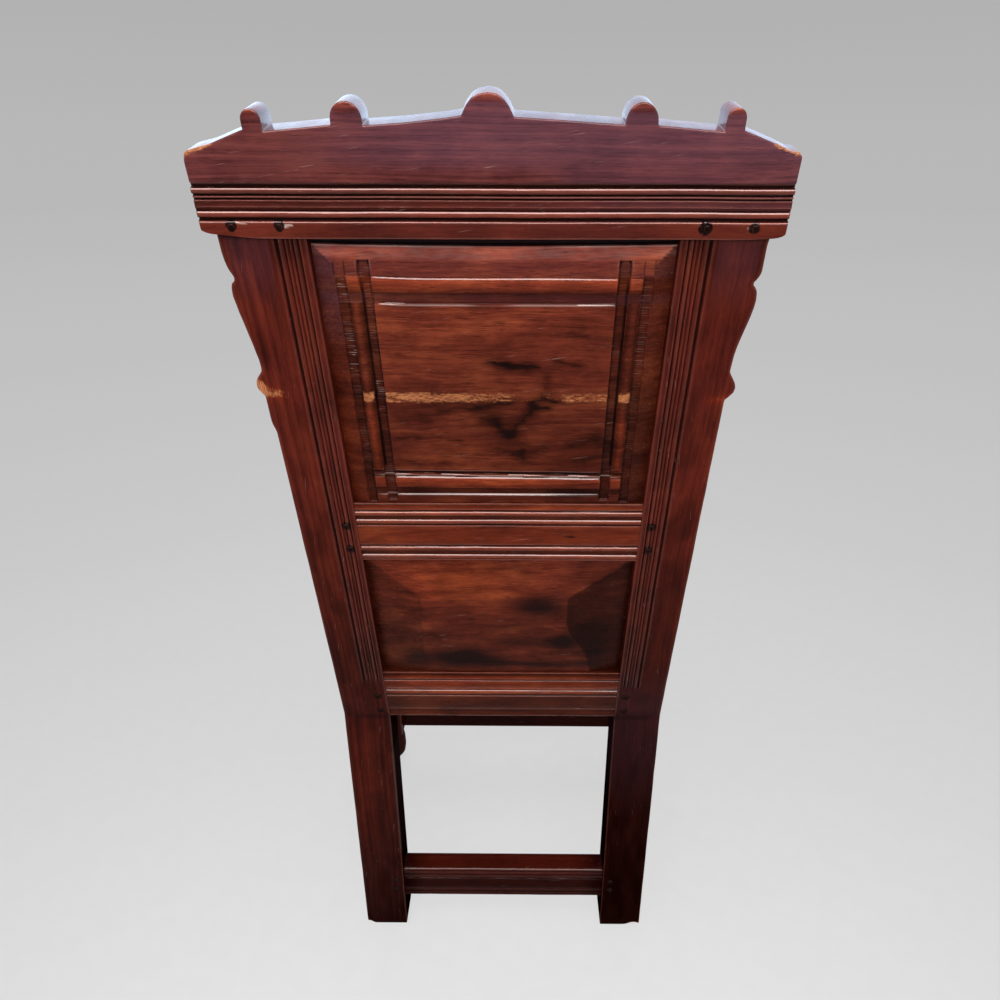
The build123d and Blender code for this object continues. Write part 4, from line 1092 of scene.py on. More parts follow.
def finial(middle, width, foot, top, squash=1.0):
    """A round-topped finial, from its left side to its right."""
    half = width / 2
    turn = np.linspace(0, pi, 15)
    rise = half * squash
    curve = [(middle + half * cos(t), top - rise + rise * sin(t)) for t in turn]
    return [(middle + half, foot[0]), *curve, (middle - half, foot[1])]


lobe = [
    (23.2, 767.4), (20.1, 773.8), (15.4, 779.4), (9.6, 782.3), (2.3, 783.5), (-4.9, 782.3),
    (-10.1, 778.8), (-13.9, 774.2), (-16.4, 769.4), (-17.7, 766.5),
]
crest_line = [
    (247.6, 717.3), (247.6, 733.0), (246.6, 739.6), (243.6, 741.8), (225.4, 746.2), (211.5, 751.4),
    (194.6, 757.4), *finial(187.4, 16.0, (757.5, 756.0), 772.0), (152.2, 758.3), (127.2, 760.6),
    *finial(113.0, 25.0, (760.6, 760.2), 777.4), (69.6, 762.3), (40, 765.2), *lobe,
    (-48.1, 764.8), (-72.5, 763.2), (-103.9, 761.2), *finial(-117.4, 25.6, (761.2, 760.8), 777.0, 1.1),
    (-154.7, 758.8), (-182.2, 756.6), *finial(-190.4, 15.4, (756.6, 757.2), 773.4), (-211.7, 752.5),
    (-227.8, 746.5), (-239.3, 741.6), (-245.4, 741.2), (-247.6, 738.4), (-247.6, 717.3),
]
crest_edge = soften(np.array(crest_line), 0.8, 3.0)
print("edge of the crest:", len(crest_edge), "points")

# %% [markdown]
# The tops of the finials have been held and rubbed for longest, and both sloping ends of the crest
# are scuffed to bare wood along a narrow strip, where the chair was leant against a wall.
# %% Crest board
CREST_FACE, CREST_REAR = 29.0, -1.0
finial_tops = (                 # along the crest, up to the top, half the width
    (187.4, 772.0, 7.5), (113.0, 777.4, 12), (1, 784, 14), (-117.4, 777.0, 12), (-190.4, 773.4, 7))
scuffed_ends = {1: (751.4, 746.2, 741.8, 737.0), -1: (752.5, 747.2, 741.4, 740.6)}


def crest_wear(local, marks):
    """Rubbed finials, scuffed ends, a painted purplish sky reflection to one side, painted shade below.
    """
    x, v, w = local.T
    rear = ease(w, 5, 0)
    buffed_top = 0.54 + 0.42 * ease(x, 20, 180) - 0.14 * ease(-x, 20, 90)
    marks["polish"] = marks["polish"] * buffed_top * (0.8 + 0.2 * waver(local[:, ::2], 7, 3))
    # A purplish painted reflection of the sky, stronger higher up and to one side; redder low in the
    # middle.
    cool_tint = 0.26 * ease(x, 200, 40) * (0.55 + 0.45 * ease(v, 722, 748))
    marks["warm"] = marks["warm"] - cool_tint + 0.25 * ease(v, 735, 720) * ease(np.abs(x - 60), 150, 60)
    for middle, top, half in finial_tops:
        near = ease(np.abs(x - middle), half + 1, half - 3)
        marks["warm"] = marks["warm"] + 0.9 * near * ease(v, top - 0.4 * half - 3, top - 1.5) * rear
        marks["worn"] += 0.42 * near * ease(v, top - 4.2, top - 1.2) * rear
    for end, tops in scuffed_ends.items():
        edge = np.interp(end * x, (211.5, 226, 243.6, CREST_END), tops)
        strip = ease(end * x, 214, 228) * ease(v, edge - 3.4, edge - 1.2)
        marks["worn"] += 0.7 * strip * rear
        local[:, 2] = local[:, 2] + 1.2 * strip * rear * (0.75 + 0.25 * waver(local[:, :2], 6, end))
    # Painted shade on the board just above the band.
    marks["shade"] = marks["shade"] * (1 - 0.25 * ease(v, 722, 716) * rear)
    return local


board("crest_board_sawn", crest_edge, flat_at(CREST_REAR), flat_at(CREST_FACE), on_back, CREST,
      ["crest_rail"], seed=17, radius=1.5, spacing=4.0, ripple=0.18, edit=crest_wear)

# %% [markdown]
# ## Panels
# The panels float in grooves, so they can shrink without splitting. The upper one was worked with the
# maker's gouge: a bead and a shallow channel run across its top and bottom, and two channels run down
# each side, cut across the grain, where the tool chattered and left ridges. Relief like this is a
# height field: one depth for each place, worked out on a grid that is finer at the channels.
# %% Depths across the panel


def depths(start, strokes):
    """A depth for each distance, from strokes like those of draw."""
    line = trace(start, strokes, 23)
    return lambda at: np.interp(at, line[:, 0], line[:, 1])


FIELD = 6.4                     # the field of the panel lies this far behind the face of the posts
cross_bands = depths((370, 6.6), [
    (391.4, 6.4), (392.3, 8.4), (401.0, 8.7), ("reed", 416.8, 7.6, 2.6), (417.4, 8.3), (418.4, 8.1),
    (419.0, 6.4), (420.8, 6.5), (421.5, 8.8), (424.2, 8.8), (425.4, 6.4), (611.4, 6.4), (612.6, 8.6),
    (621.6, 9.0), ("reed", 638.0, 7.0, 2.3), (639.0, 6.5), (651.2, 6.5), (664.6, 10.0), (665.2, 13.0),
    (680, 13.0),
])
side_strip = depths((27.0, 9.2), [("reed", 38.6, 9.2, 3.0), (39, 9.2)])
print("depth of the field and of a track:", cross_bands(500.0).round(1), side_strip(39.0).round(1))

# %% [markdown]
# A knot darkens the middle of the field and sends dark branches out along the grain. They are soft
# strokes with ragged edges: each runs from one (x, v) to another, with a half width and an amount.
# %% A knot and its dark branches
knot_strokes = (
    (6, 553, -38, 547, 2.2, 1.0), (-8, 549, -30, 545, 3.4, 0.9), (-57, 554, -81, 549, 2.2, 0.85),
    (-49, 542, -50, 518, 2.4, 0.6), (-33, 507, -44, 513.5, 1.8, 0.9), (-44, 513.5, -60, 508, 2.2, 0.9),
    (-36, 503, -52, 501, 2.6, 1.0), (-60, 508, -74, 506, 1.6, 0.6), (57, 498, 20, 502, 2.2, 0.8),
    (20, 501, -14, 508, 3.2, 0.9), (16, 488, 0, 484, 2.8, 0.7), (2, 485, -13, 468, 5.2, 1.0),
    (-14, 470, -38, 503, 3.4, 0.95), (-2, 452, -24, 446, 2.6, 0.75), (-24, 449, -26, 439, 4.6, 0.85),
    (-26, 446, -52, 455, 1.8, 0.6), (99, 490, 93, 486, 4.4, 0.6), (77, 491, 70, 488, 5.2, 0.65),
    (105, 464, 80, 466.5, 1.6, 0.65), (80, 466.5, 38, 463, 1.7, 0.6), (96, 436, 85, 431, 3.2, 0.6),
    (61, 434, 51, 431, 2.4, 0.5), (-104, 463, -124, 454, 5.5, 0.8), (-90, 466, -104, 470, 3.0, 0.45),
    (122, 452, 128, 424, 9.0, 0.42), (60, 446, 20, 444, 1.0, 0.4), (100, 396, 70, 394, 4.0, 0.6),
    (-60, 394, -118, 392, 3.0, 0.6), (30, 404, 10, 404, 2.0, 0.4),
)


def strokes_on(x, v, strokes):
    """Darkness from soft strokes of (x, v, to x, to v, half width, amount), with ragged edges."""
    total = np.zeros_like(x)
    place = stacked((x, v * 1.6))
    x = x + 3.0 * waver(place, 9, 41) + 1.6 * waver(place, 3, 43)
    v = v + 1.8 * waver(place, 9, 42) + 0.9 * waver(place, 3, 44)
    for ax, av, bx, bv, half, amount in strokes:
        run, rise = bx - ax, bv - av
        t = np.clip(((x - ax) * run + (v - av) * rise) / (run ** 2 + rise ** 2), 0, 1)
        gap = np.hypot(x - ax - t * run, (v - av - t * rise) * 1.15)
        soft = np.exp(-(gap / (half * (2.5 - 0.7 * t))) ** 1.3)
        total = total + (1 - total) * 0.95 * amount * soft
    return total * (0.9 + 0.1 * waver(place * [0.3, 1.6], 2.2, 45))


# %% [markdown]
# The relief of the upper panel is worked out in the order in which it was cut. Its places are e (in
# from the side) and level (up, along the run of the bands, which wander a little). Each step below
# adds to one bundle of arrays: the depth w, and the marks.
# %% Places on the upper panel
TOP_BAND = 644.0                # above this the wander of the top moulding counts


def upper_places(x, v):
    """A bundle of arrays that says where places lie on the upper panel."""
    e = HALF_OPENING - np.abs(x) + 0.4 * waver((np.sign(x) * 90, v), 28, 20)
    wander = (1.6 * line_waver(x, 34, 21) + 3.5 * ease(np.abs(x), 90, 150)) * ease(v, 664, 650)
    wander = wander - 1.6 * (1 - (x / 150) ** 2) * ease(v, 652, 662)
    lower = (1.1 + 1.4 * ease(v, 618, 632)) * (1 - 0.75 * ease(x, 60, 140)) * ease(v, 560, 600)
    lower = lower + (2.6 - 0.009 * x) * ease(v, 388, 402) * ease(v, 520, 460)
    level = np.where(v > TOP_BAND, v - wander, v + lower + 0.3 * line_waver(x, 60, 22))
    return SimpleNamespace(x=x, v=v, e=e, level=level, place=stacked((x, v)), side=np.sign(x))


# %% Bands, strips and bevels
STRIP = (27.0, 38.7)            # the rolled strip down each side, between its two tracks
# Painted light and shade up the panel: bright beads and top bevel, dark channels, crest's shadow at top.
BAND_LIGHT_AND_SHADE = (
    (370, 0.85), (391.0, 0.85), (392.3, 0.5), (400.6, 0.45), (402, 0.9), (409, 1.25), (416.0, 1.5),
    (417.4, 0.5), (418.4, 0.5), (419, 1.1), (420.8, 1.0), (421.5, 0.4), (424.4, 0.4), (425.8, 0.95),
    (600, 1.05), (611, 1.0), (612.6, 0.55), (621, 0.4), (623, 0.65), (629, 1.0), (636, 1.5),
    (638.6, 0.9), (650.0, 1.15), (653, 2.0), (664.2, 2.4), (664.6, 0.05), (680, 0.05),
)


def cut_bands(p):
    """Beads and channels across the panel, the side strips and bevels, with painted light and shade."""
    p.w = cross_bands(p.level)
    p.shade = read(p.level, *BAND_LIGHT_AND_SHADE)
    rise = (cross_bands(p.level + 0.4) - cross_bands(p.level - 0.4)) / 0.8
    p.polish = ease(rise, 0.22, 0.45) * ease(p.w, 8.6, 7.6)
    p.polish = p.polish + 0.35 * ease(p.level, 651, 652) * ease(p.level, 664.6, 664.2)
    p.strip = (p.e > STRIP[0]) & (p.e < STRIP[1]) & (p.v > 425.4) & (p.v < 611.5)
    p.w = np.where(p.strip, side_strip(p.e), p.w)
    p.low_down = ease(p.v + 22 * waver(p.place * [1, 0.5], 18, 38), 505, 470)
    # Painted light along the middle of each rolled strip, shade at its sides.
    strip_shading = 0.42 + 0.5 * np.exp(-((p.e - 32.5) / 3.2) ** 2)
    strip_shading = strip_shading * (0.72 + 0.5 * p.low_down + 0.12 * (p.x > 0))
    p.shade = np.where(p.strip, strip_shading, p.shade)
    bevelled = ease(p.e, 18, 17) * ease(666 - 1.26 * p.e - p.level, -0.6, 0.6)
    bevel = FIELD + 4.4 * np.clip(1 - p.e / 17.5, 0, 1) ** 1.15
    bevel = np.maximum(bevel, np.where(p.v > TOP_BAND, p.w, FIELD))
    p.w = np.where(bevelled > 0.5, bevel, p.w)
    # Painted shade on the side bevels.
    p.shade = p.shade + (0.66 - 0.12 * ease(p.v, 560, 640) - p.shade) * bevelled
    p.polish = p.polish * (1 - bevelled)


# %% Gouged tracks
TRACKS = (
    # in from the side: from, to; up the panel: from, to; depth of the floor
    (17.5, 27.0, 380, 637, 9.0), (38.7, 49.3, 383, 652, 9.7),
)


def cut_tracks(p):
    """Two tracks down each side, cut across the grain into chatter ridges; painted shade and highlights.
    """
    e, v = p.e, p.v
    beat = v * 2.6 + 1.6 * waver((p.side * 50 + e / 9, v), 5, 23)
    ridge = np.clip(np.sin(beat), 0, 1) ** 2 * ease(waver(p.place * [0.3, 1], 2.6, 29), -0.5, 0.3)
    clusters = ease(waver((p.side * 70 + np.round(e / 22) * 31, v), 30, 24), -0.6, 0.4)
    clusters = clusters * (0.3 + 0.7 * (p.x > 0)) * (0.35 + 0.65 * ease(v, 470, 540))
    p.pale = np.zeros_like(p.w)
    for near, far, foot, head, floor in TRACKS:
        cut = ease(e, near - 0.2, near + 0.6) * ease(e, far + 0.4, far - 0.5)
        cut *= ease(v, foot, foot + 1.5) * ease(v, head + 1.5, head - 3)
        rough = 0.22 * waver(p.place, 3.2, 25) - 0.55 * ridge * (0.35 + 0.65 * clusters)
        p.w = np.maximum(p.w, p.w + (floor + rough - p.w) * cut)
        # Painted shade on the floor of a track, lighter on its ridges and near the top, dark by one wall.
        track_shade = 0.46 + 0.25 * ridge + 0.1 * waver(p.place, 14, 30)
        track_shade = track_shade - 0.3 * ease(e, far - 2.6, far - 0.8) + 0.3 * ease(v, 615, 650) * (p.x > 0)
        # A painted shadow band along the outer wall of the inner track.
        dark = (near > STRIP[0]) * ease(e, near + 3.4, near + 2.2) * ease(v, 425, 432) * ease(v, 640, 620)
        p.shade = p.shade + (track_shade * (1 - 0.85 * dark) - p.shade) * cut
        p.polish = p.polish * (1 - cut)
        frayed = ease(waver(p.place * [0.25, 1], 2.4, 26), -0.4, 0.3)
        # Painted highlights on the ridge tops.
        p.pale = p.pale + 0.42 * cut * ridge * clusters * (1 - dark) * frayed
    above = ease(v, 637, 639) * ease(v, 653, 649)
    for line in (TRACKS[0][0], *STRIP):
        p.w = p.w + 1.0 * np.exp(-((e - line) / 0.5) ** 2) * above
        p.shade = p.shade - 0.5 * np.exp(-((e - line) / 0.6) ** 2) * above


# %% Wear and painted highlights of the upper panel
# Painted highlight lines along arrises that face the light: where up the panel, and how strong.
ARRIS_HIGHLIGHTS = ((611.2, 0.5), (419.6, 0.5), (391.2, 0.4), (664.0, 0.4))


def wear_upper(p):
    """Painted highlights along band arrises, broken like chips, a painted sheen, and a scuffed band."""
    e, v = p.e, p.v
    # Pale broken lines: painted highlights along the arrises.
    arris_highlight = sum(k * np.exp(-((p.level - at) / 0.55) ** 2) for at, k in ARRIS_HIGHLIGHTS)
    broken = ease(waver(p.place * [0.15, 1], 6, 32), -0.5, 0.3)
    p.pale = p.pale + arris_highlight * broken * ease(e, 27, 39)
    # A painted highlight along the panel's top arris, under the crest.
    p.pale = p.pale + 0.4 * np.exp(-((p.level - 664.0) / 0.5) ** 2) * ease(e, 39, 0)
    # A painted pinkish sheen on the top bevel, a reflection of the sky.
    top_bevel_sheen = 0.05 * ease(p.level, 652, 655) * ease(p.level, 664.3, 664)
    p.pale = p.pale + top_bevel_sheen * (1 + waver(p.place * [0.5, 1], 3, 37))
    scuffed = np.exp(-np.abs((v - 513.5) / 7.4) ** 4) * (0.8 + 0.2 * waver(p.place * [0.3, 1], 2, 28))
    along = ease(p.x, 119, 108) * (0.84 + 0.16 * ease(p.x, -10, 50)) * ease(p.x, -119, -108)
    along = (along + p.strip * 1.0) * (1 - 0.35 * ease(np.abs(p.x + 40), 34, 14))
    along = along + 0.12 * waver(p.place * [0.6, 1], 5, 39)
    p.worn = 0.72 * scuffed * along * (1 - ease(e, 38, 39.5) * ease(e, 50, 49))


# %% Knot, shade and warmth of the upper panel


def colour_upper(p):
    """The dark knot, painted light and shade over the field, and where the wood is redder."""
    e, v, level = p.e, p.v, p.level
    knot = strokes_on(p.x, v, knot_strokes)
    p.stain = 0.7 * ease(knot, 0.45, 1.0)
    # The knot darkens the wood; painted shade darkens the field low down on one side.
    p.shade = p.shade * (1 - 0.94 * knot) * (1 - 0.3 * ease(v, 560, 440) * ease(-p.x, -20, 90))
    p.shade = p.shade * (1 + 0.08 * waver(p.place, 40, 34))
    # Painted light: the field grows lighter towards the top.
    p.shade = p.shade * (1 + 0.2 * ease(v, 500, 590)) * (1 + 0.12 * ease(v, 440, 500))
    bead = 0.32 * ease(level, 621.6, 625) * ease(level, 638, 637)
    warm = bead * (0.4 + 0.6 * ease(np.abs(p.x + 10), 20, 100))
    warm = (warm + 0.5 * ease(level, 400, 403) * ease(level, 417, 416)) * ease(e, 26, 27.5)
    warm = warm + p.strip * (0.12 + 0.5 * p.low_down)
    one_side = (p.x > 0) * ease(e, 19, 17)
    warm = warm + one_side * (0.5 * ease(v, 580, 500) - 0.1 * ease(v, 540, 620))
    warm = warm - 0.07 * ease(level, 638, 640) - 0.05 * ease(level, 611, 613) * ease(level, 622, 621)
    p.warm = warm + 0.12 * ease(v, 480, 440) * ease(e, 49, 52)


# %% Relief of the upper panel


def upper_relief(x, v):
    """Depth and marks at places on the rear of the upper panel."""
    p = upper_places(x, v)
    for step in (cut_bands, cut_tracks, wear_upper, colour_upper):
        step(p)
    p.crossed = ease(p.e, 53, 50) * ease(v, 652, 640)
    p.polish = p.polish * (1 - p.crossed)
    labels = ("worn", "stain", "shade", "polish", "pale", "warm", "crossed")
    return p.w, {label: getattr(p, label) for label in labels}


# %% [markdown]
# The lower panel is plainer. Four broad bevels were hewn down to its edges, not quite evenly, and
# they meet the field in soft lines. A smooth maximum of five planes gives just that. Old spills have
# darkened it in several places. Its bevels carry painted shade, darker the more they face away from
# the light, and the panel is painted darker towards the bottom and beside the posts.
# %% Relief of the lower panel
SPILLS = (
    # across, up, half its width, half its height, how dark
    (-48, 215, 40, 26, 0.72), (60, 190, 20, 14, 0.25), (-122, 140, 34, 60, 0.5), (-40, 150, 60, 14, 0.45),
    (52, 118, 56, 21, 0.85), (-50, 104, 60, 9, 0.62), (-80, 146, 18, 22, 0.5), (120, 110, 20, 30, 0.4),
    (96, 190, 8, 10, 0.45), (10, 178, 40, 8, 0.3),
)
SOFT_MEETING = 0.16             # in mm, how softly the planes meet


def lower_relief(x, v):
    """Depth and marks at places on the rear of the lower panel."""
    place = stacked((x, v))
    down = np.clip((294 - v) / 200, 0, 1)
    hewn = 0.35 * waver(place, 30, 31)
    planes = [
        np.zeros_like(x),
        6.8 * (1 - (HALF_OPENING - x) / (65 - 5 * down)) + hewn,
        6.8 * (1 - (HALF_OPENING + x) / (78 - 34 * ease(v, 190, 100))) + hewn,
        7.0 * (1 - (291 - v) / 64) + hewn,
        -0.6 + 1.2 * (1 - (v - 87) / 20),
    ]
    w = 6.5 + SOFT_MEETING * np.log(sum(np.exp(plane / SOFT_MEETING) for plane in planes))
    w = w + 0.12 * waver(place, 8, 33)
    stain = np.zeros_like(w)
    for cx, cv, wide, tall, amount in SPILLS:
        bend = 2.5 * waver(place, 22, cx)
        stain += amount * spot(x + bend, v + bend, cx, cv, wide, tall)
    facet = np.argmax(planes, axis=0)
    # Painted shade: each bevel by how it faces the light, the field darker downwards and by the posts.
    shade = np.choose(facet, [1, 0.7, 0.4 - 0.06 * down, 1, 1]) * (1.12 - 0.36 * ease(v, 290, 130))
    shade = shade * (1 - 0.4 * ease(np.abs(x), 146, 158)) * (1 + 0.12 * waver(place, 30, 35))
    warm = 0.55 * spot(x, v, 60, 250, 90, 45) - 0.06 * ease(v, 280, 292)
    return w, {"stain": stain, "shade": shade, "warm": warm}


# %% [markdown]
# A panel is one closed mesh: the worked rear as a fine grid, the plain fielded front as a coarse one,
# and a wall of faces that joins their edges. How proud a place stands is measured here as its depth
# against the mean depth two millimetres away on four sides.
# %% Make a panel
FRONT_COLUMNS, FRONT_ROWS = 90, 70
AROUND = ((2, 0), (-2, 0), (0, 2), (0, -2))


def float_panel(name, relief, across, up, wood, nodes, seed):
    """A panel with a worked rear and a plain front."""
    x, v = np.meshgrid(across, up)
    w, worked = relief(x, v)
    mean_depth = sum(relief(x + dx, v + dv)[0] for dx, dv in AROUND) / 4
    worked["proud"] = (mean_depth - w) * (1 - 0.8 * worked.pop("crossed", 0))
    rear = stacked((x, v, w))
    fx, fv = np.meshgrid(np.linspace(across[0], across[-1], FRONT_COLUMNS),
                         np.linspace(up[0], up[-1], FRONT_ROWS))
    edge = np.minimum(HALF_OPENING - np.abs(fx), np.minimum(fv - up[0] - 4, up[-1] - 4 - fv))
    level = 21.2 + 5.8 * np.clip(edge / 24, 0, 1) + 0.12 * waver((fx, fv), 40, seed)
    front = stacked((fx, fv, level))
    local = np.vstack([rear.reshape(-1, 3), front.reshape(-1, 3)])
    faces = sheet(*x.shape) + sheet(*fx.shape, first=x.size)
    marks = {k: np.concatenate([a.ravel(), np.full(fx.size, MARKS[k])]) for k, a in worked.items()}
    grain = local + np.array([900 * seed, 0, 0])
    return piece(name, on_back(local), faces, grain, marks, wood, nodes, walls=True)


def mirrored(stations):
    """Stations on both sides of the middle, from those on one side."""
    return np.concatenate([-stations[::-1], stations])


# %% Make both panels
upper_half = np.concatenate([
    np.arange(1.8, 106, 3.6), np.arange(108.5, 145.5, 0.85), np.arange(147, 165, 2.6)])
lower_half = np.arange(1.2, 165, 2.4)
float_panel("upper_panel_worked", upper_relief, mirrored(upper_half), np.arange(376.5, 678, 0.62), PANEL,
            ["upper_panel"], seed=21)
float_panel("lower_panel_hewn", lower_relief, mirrored(lower_half), np.arange(85, 301.5, 2.2), PANEL,
            ["lower_panel"], seed=22)

# %% [markdown]
# ## Front posts
# The front posts were turned on a pole lathe between square blocks, which are left whole for the
# mortises. A turned post is one radius for each height. At a block the radius is set past the corners,
# and every point is held to the square, so turning and block come out of the same formula, with the
# rounded shoulder that a gouge leaves where one meets the other.
# %% Heights and cuts of a front post
FRONT_Y = BEND_Y - 401.0        # the plane of the faces of the front posts
POST_X, POST_Y, HALF_POST = 244.0, FRONT_Y + 29.0, 29.0
POST_TOP, PAST_CORNERS = 668.0, 40.4
turnings = (
    # foot and head of a turned part, and its cuts as (depth below the square, place up its pattern)
    (0, 74, ((9, 0), (3, 8), (0.5, 24), (1, 44), (3.5, 62), (3.5, 74))),
    (129, 351, ((8, 0), (8, 5), (3, 9), (3, 15), (10, 19), (12, 26), (7, 60), (4, 110), (6, 160),
                (11, 188), (12, 196), (5, 201), (3, 207), (5, 213), (9, 218), (9, 228))),
    (466, 668, ((9, 0), (9, 5), (4, 9), (4, 15), (11, 20), (13, 28), (7, 60), (4, 90), (7, 122),
                (12, 150), (13, 158), (6, 163), (4, 169), (6, 175), (10, 180), (5, 190), (5, 198))),
)


def post_radii():
    """Heights up a front post, and the radius at each."""
    z = np.arange(0, POST_TOP + 0.01, 0.5)
    radius = np.full_like(z, PAST_CORNERS)
    for foot, head, cuts in turnings:
        cut, up = np.array(cuts, float).T
        here = (z >= foot) & (z <= head)
        radius[here] = HALF_POST - np.interp((z[here] - foot) * up[-1] / (head - foot), up, cut)
    radius = np.convolve(np.pad(radius, 8, "edge"), bell(8, 0.5, 1.1), "valid")
    kept = thin(stacked((z, radius)), 3.5, radians(5))
    return np.vstack([kept, [POST_TOP, radius[-1]]])


# %% Turn the front posts
QUARTER = [-45, -43, -39, -33, -25, -16, -8, 0, 8, 16, 25, 33, 39, 43]     # degrees, close at corners


def turn_post(name, side, seed):
    """A front post: radii held to the square, knocked, worn at corners and foot; painted shade low down.
    """
    z, radius = post_radii().T
    angle = np.concatenate([np.radians(QUARTER) + k * pi / 2 for k in range(4)])
    reach = np.max(np.abs([np.cos(angle), np.sin(angle)]), axis=0)
    square = HALF_POST / reach
    up = np.repeat(z[:, None], len(angle), 1)
    whole = np.repeat(radius[:, None], len(angle), 1)
    skin = (np.cos(angle) * 40 + 0 * up, np.sin(angle) * 40 + 0 * up, up * 0.5)
    r = np.minimum(whole, square) - 0.12 * (1 + waver(skin, 16, seed))
    r = r - dents(np.degrees(angle), up, seed, 26, (-60, 300), (4, 640), size=5)
    low, high = np.interp(z - 2.5, z, radius), np.interp(z + 2.5, z, radius)
    proud = np.repeat(((radius - (low + high) / 2) * 1.1).clip(-1.2, 1.0)[:, None], len(angle), 1)
    block = whole > 36
    proud = np.where(block, 0.9 * ease(square, 37.5, 40), proud)
    worn = 0.55 * ease(square, 38.5, 40.5) * block * ease(up, 130, 70) * ease(whole * reach, 28, 29.5)
    # Painted shade, darker towards the foot, as on the rear posts.
    shade = read(up, (0, 0.3), (74, 0.42), (130, 0.5), (350, 0.72), (470, 0.9), (668, 1.0))
    x, y = side * POST_X + r * np.cos(angle), POST_Y + r * np.sin(angle)
    marks = {"proud": proud, "worn": worn + 0.6 * ease(up, 12, 0), "shade": shade}
    grain = (up, x + 700 * seed, y)
    return piece(name, (x, y, up), around(*up.shape), grain, marks, POST, [name[:-7]])


turn_post("front_post_left_turned", 1, 31)
turn_post("front_post_right_turned", -1, 32)

# %% [markdown]
# ## Seat rails and low stretchers
# The front rail and stretcher are run with reeds like the rails of the back. The side members splay
# outwards to the front, and their ends are cut to the faces of the posts, so their stations lie
# between those two faces and not at even distances from a corner.
# %% Front rail and front stretcher
front_rail_outline = draw((0, 1.2), [
    (1.2, 0.1), (7.0, 0), (8.0, 1.6), ("reed", 15.4, 1.6, 1.4), (16.4, 1.5), (17.4, 0), (67.0, 0),
    (68.0, 1.6), ("reed", 76.4, 1.6, 1.4), (77.4, 1.5), (78.4, 0), (84.2, 0), (85, 0.8), (85, 27),
    (0, 27),
], soft=0.4)
front_low_outline = draw((0, 1.0), [
    (1.0, 0.1), (6.0, 0), (7.0, 1.6), ("reed", 13.2, 1.6, 1.3), (14.2, 0.1), (35.6, 0), (36.6, 1.6),
    ("reed", 42.6, 1.6, 1.3), (43.6, 0.1), (47.4, 0.6), (50, 3.0), (50, 24), (0, 24),
], soft=0.6)


def facing_front(setback):
    """Turns (x, z, depth behind a front face) to row-frame millimetres."""
    return lambda p: (p[0], FRONT_Y + setback + p[2], p[1])


across_front = np.linspace(-215, 215, 170)


def shaded_behind(x, up, deep, marks):
    """Paints shade on the back of a rail, which faces in under the seat."""
    marks["shade"] = marks["shade"] * (1 - 0.6 * ease(deep, 2, 10))
    return up, deep


# Painted shade: the front rail and stretcher are darker overall, and darker still behind.
run_rail("front_seat_rail_run", front_rail_outline, across_front, 355.0, RAIL, ["front_seat_rail"],
         seed=41, bend=facing_front(3.0), shade=0.8, edit=shaded_behind)
run_rail("front_stretcher_run", front_low_outline, across_front, 74.0, POST, ["front_stretcher"],
         seed=42, bend=facing_front(6.0), knocks=60, shade=0.55, edit=shaded_behind)

# %% Side rails and side stretchers
LEG_FOOT_Y = BEND_Y + BEND_Z * np.tan(KICK) - POST_DEEP / cos(KICK)
SIDE_FRONT_Y = FRONT_Y + 58.0
SIDE_SPLAY = (271.0 - 223.0) / (LEG_FOOT_Y - 355 * np.tan(KICK) - SIDE_FRONT_Y)
side_rail_outline = draw((0, 1.2), [
    (1.2, 0.1), (6.0, 0), (6.8, 1.3), (7.6, 1.3), ("reed", 13.4, 1.2, 1.1), (14.2, 1.2), (15.0, 0),
    (84.0, 0), (85, 0.8), (85, 27), (0, 27),
], soft=0.4)
side_low_outline = draw((0, 1.2), [
    (1.2, 0.1), (54.0, 0), (57.4, 1.0), (59, 3.4), (59, 22), (57, 24), (0, 24),
], soft=0.8)


def run_side(name, side, outline, bottom, wood, seed, shade, rows=150):
    """A side member: an outline of (height, depth from its outer face) from rear post to front post."""
    t = np.repeat(np.linspace(0, 1, rows)[:, None], len(outline), 1)
    up, deep = columns_of(outline, rows)
    up = up + bottom
    rear_y = LEG_FOOT_Y - up * np.tan(KICK)
    y = rear_y + (SIDE_FRONT_Y - rear_y) * t
    hand = waver((y, up * 3), 40, seed)
    knocks = dents(y, up, seed, 24, (-200, 80), (bottom, bottom + 80))
    deep = deep + ease(deep, 5, 1) * (0.1 + 0.1 * hand + knocks)
    outer = 271.0 - (y - SIDE_FRONT_Y) * SIDE_SPLAY
    x = outer - deep * hypot(1, SIDE_SPLAY)
    marks = {"proud": np.repeat(proud_of(outline)[None], rows, 0), "shade": np.interp(t, (0, 1), shade)}
    grain = (y, up + 600 * seed, deep)
    return piece(name, (side * x, y, up), around(*up.shape), grain, marks, wood, [name[:-4]])


for word, side, seed in (("left", 1, 43), ("right", -1, 45)):
    run_side(f"side_seat_rail_{word}_run", side, side_rail_outline, 355.0, RAIL, seed, (0.55, 0.75))
    run_side(f"side_stretcher_{word}_run", side, side_low_outline, 65.0, POST, seed + 1, (0.4, 0.5))

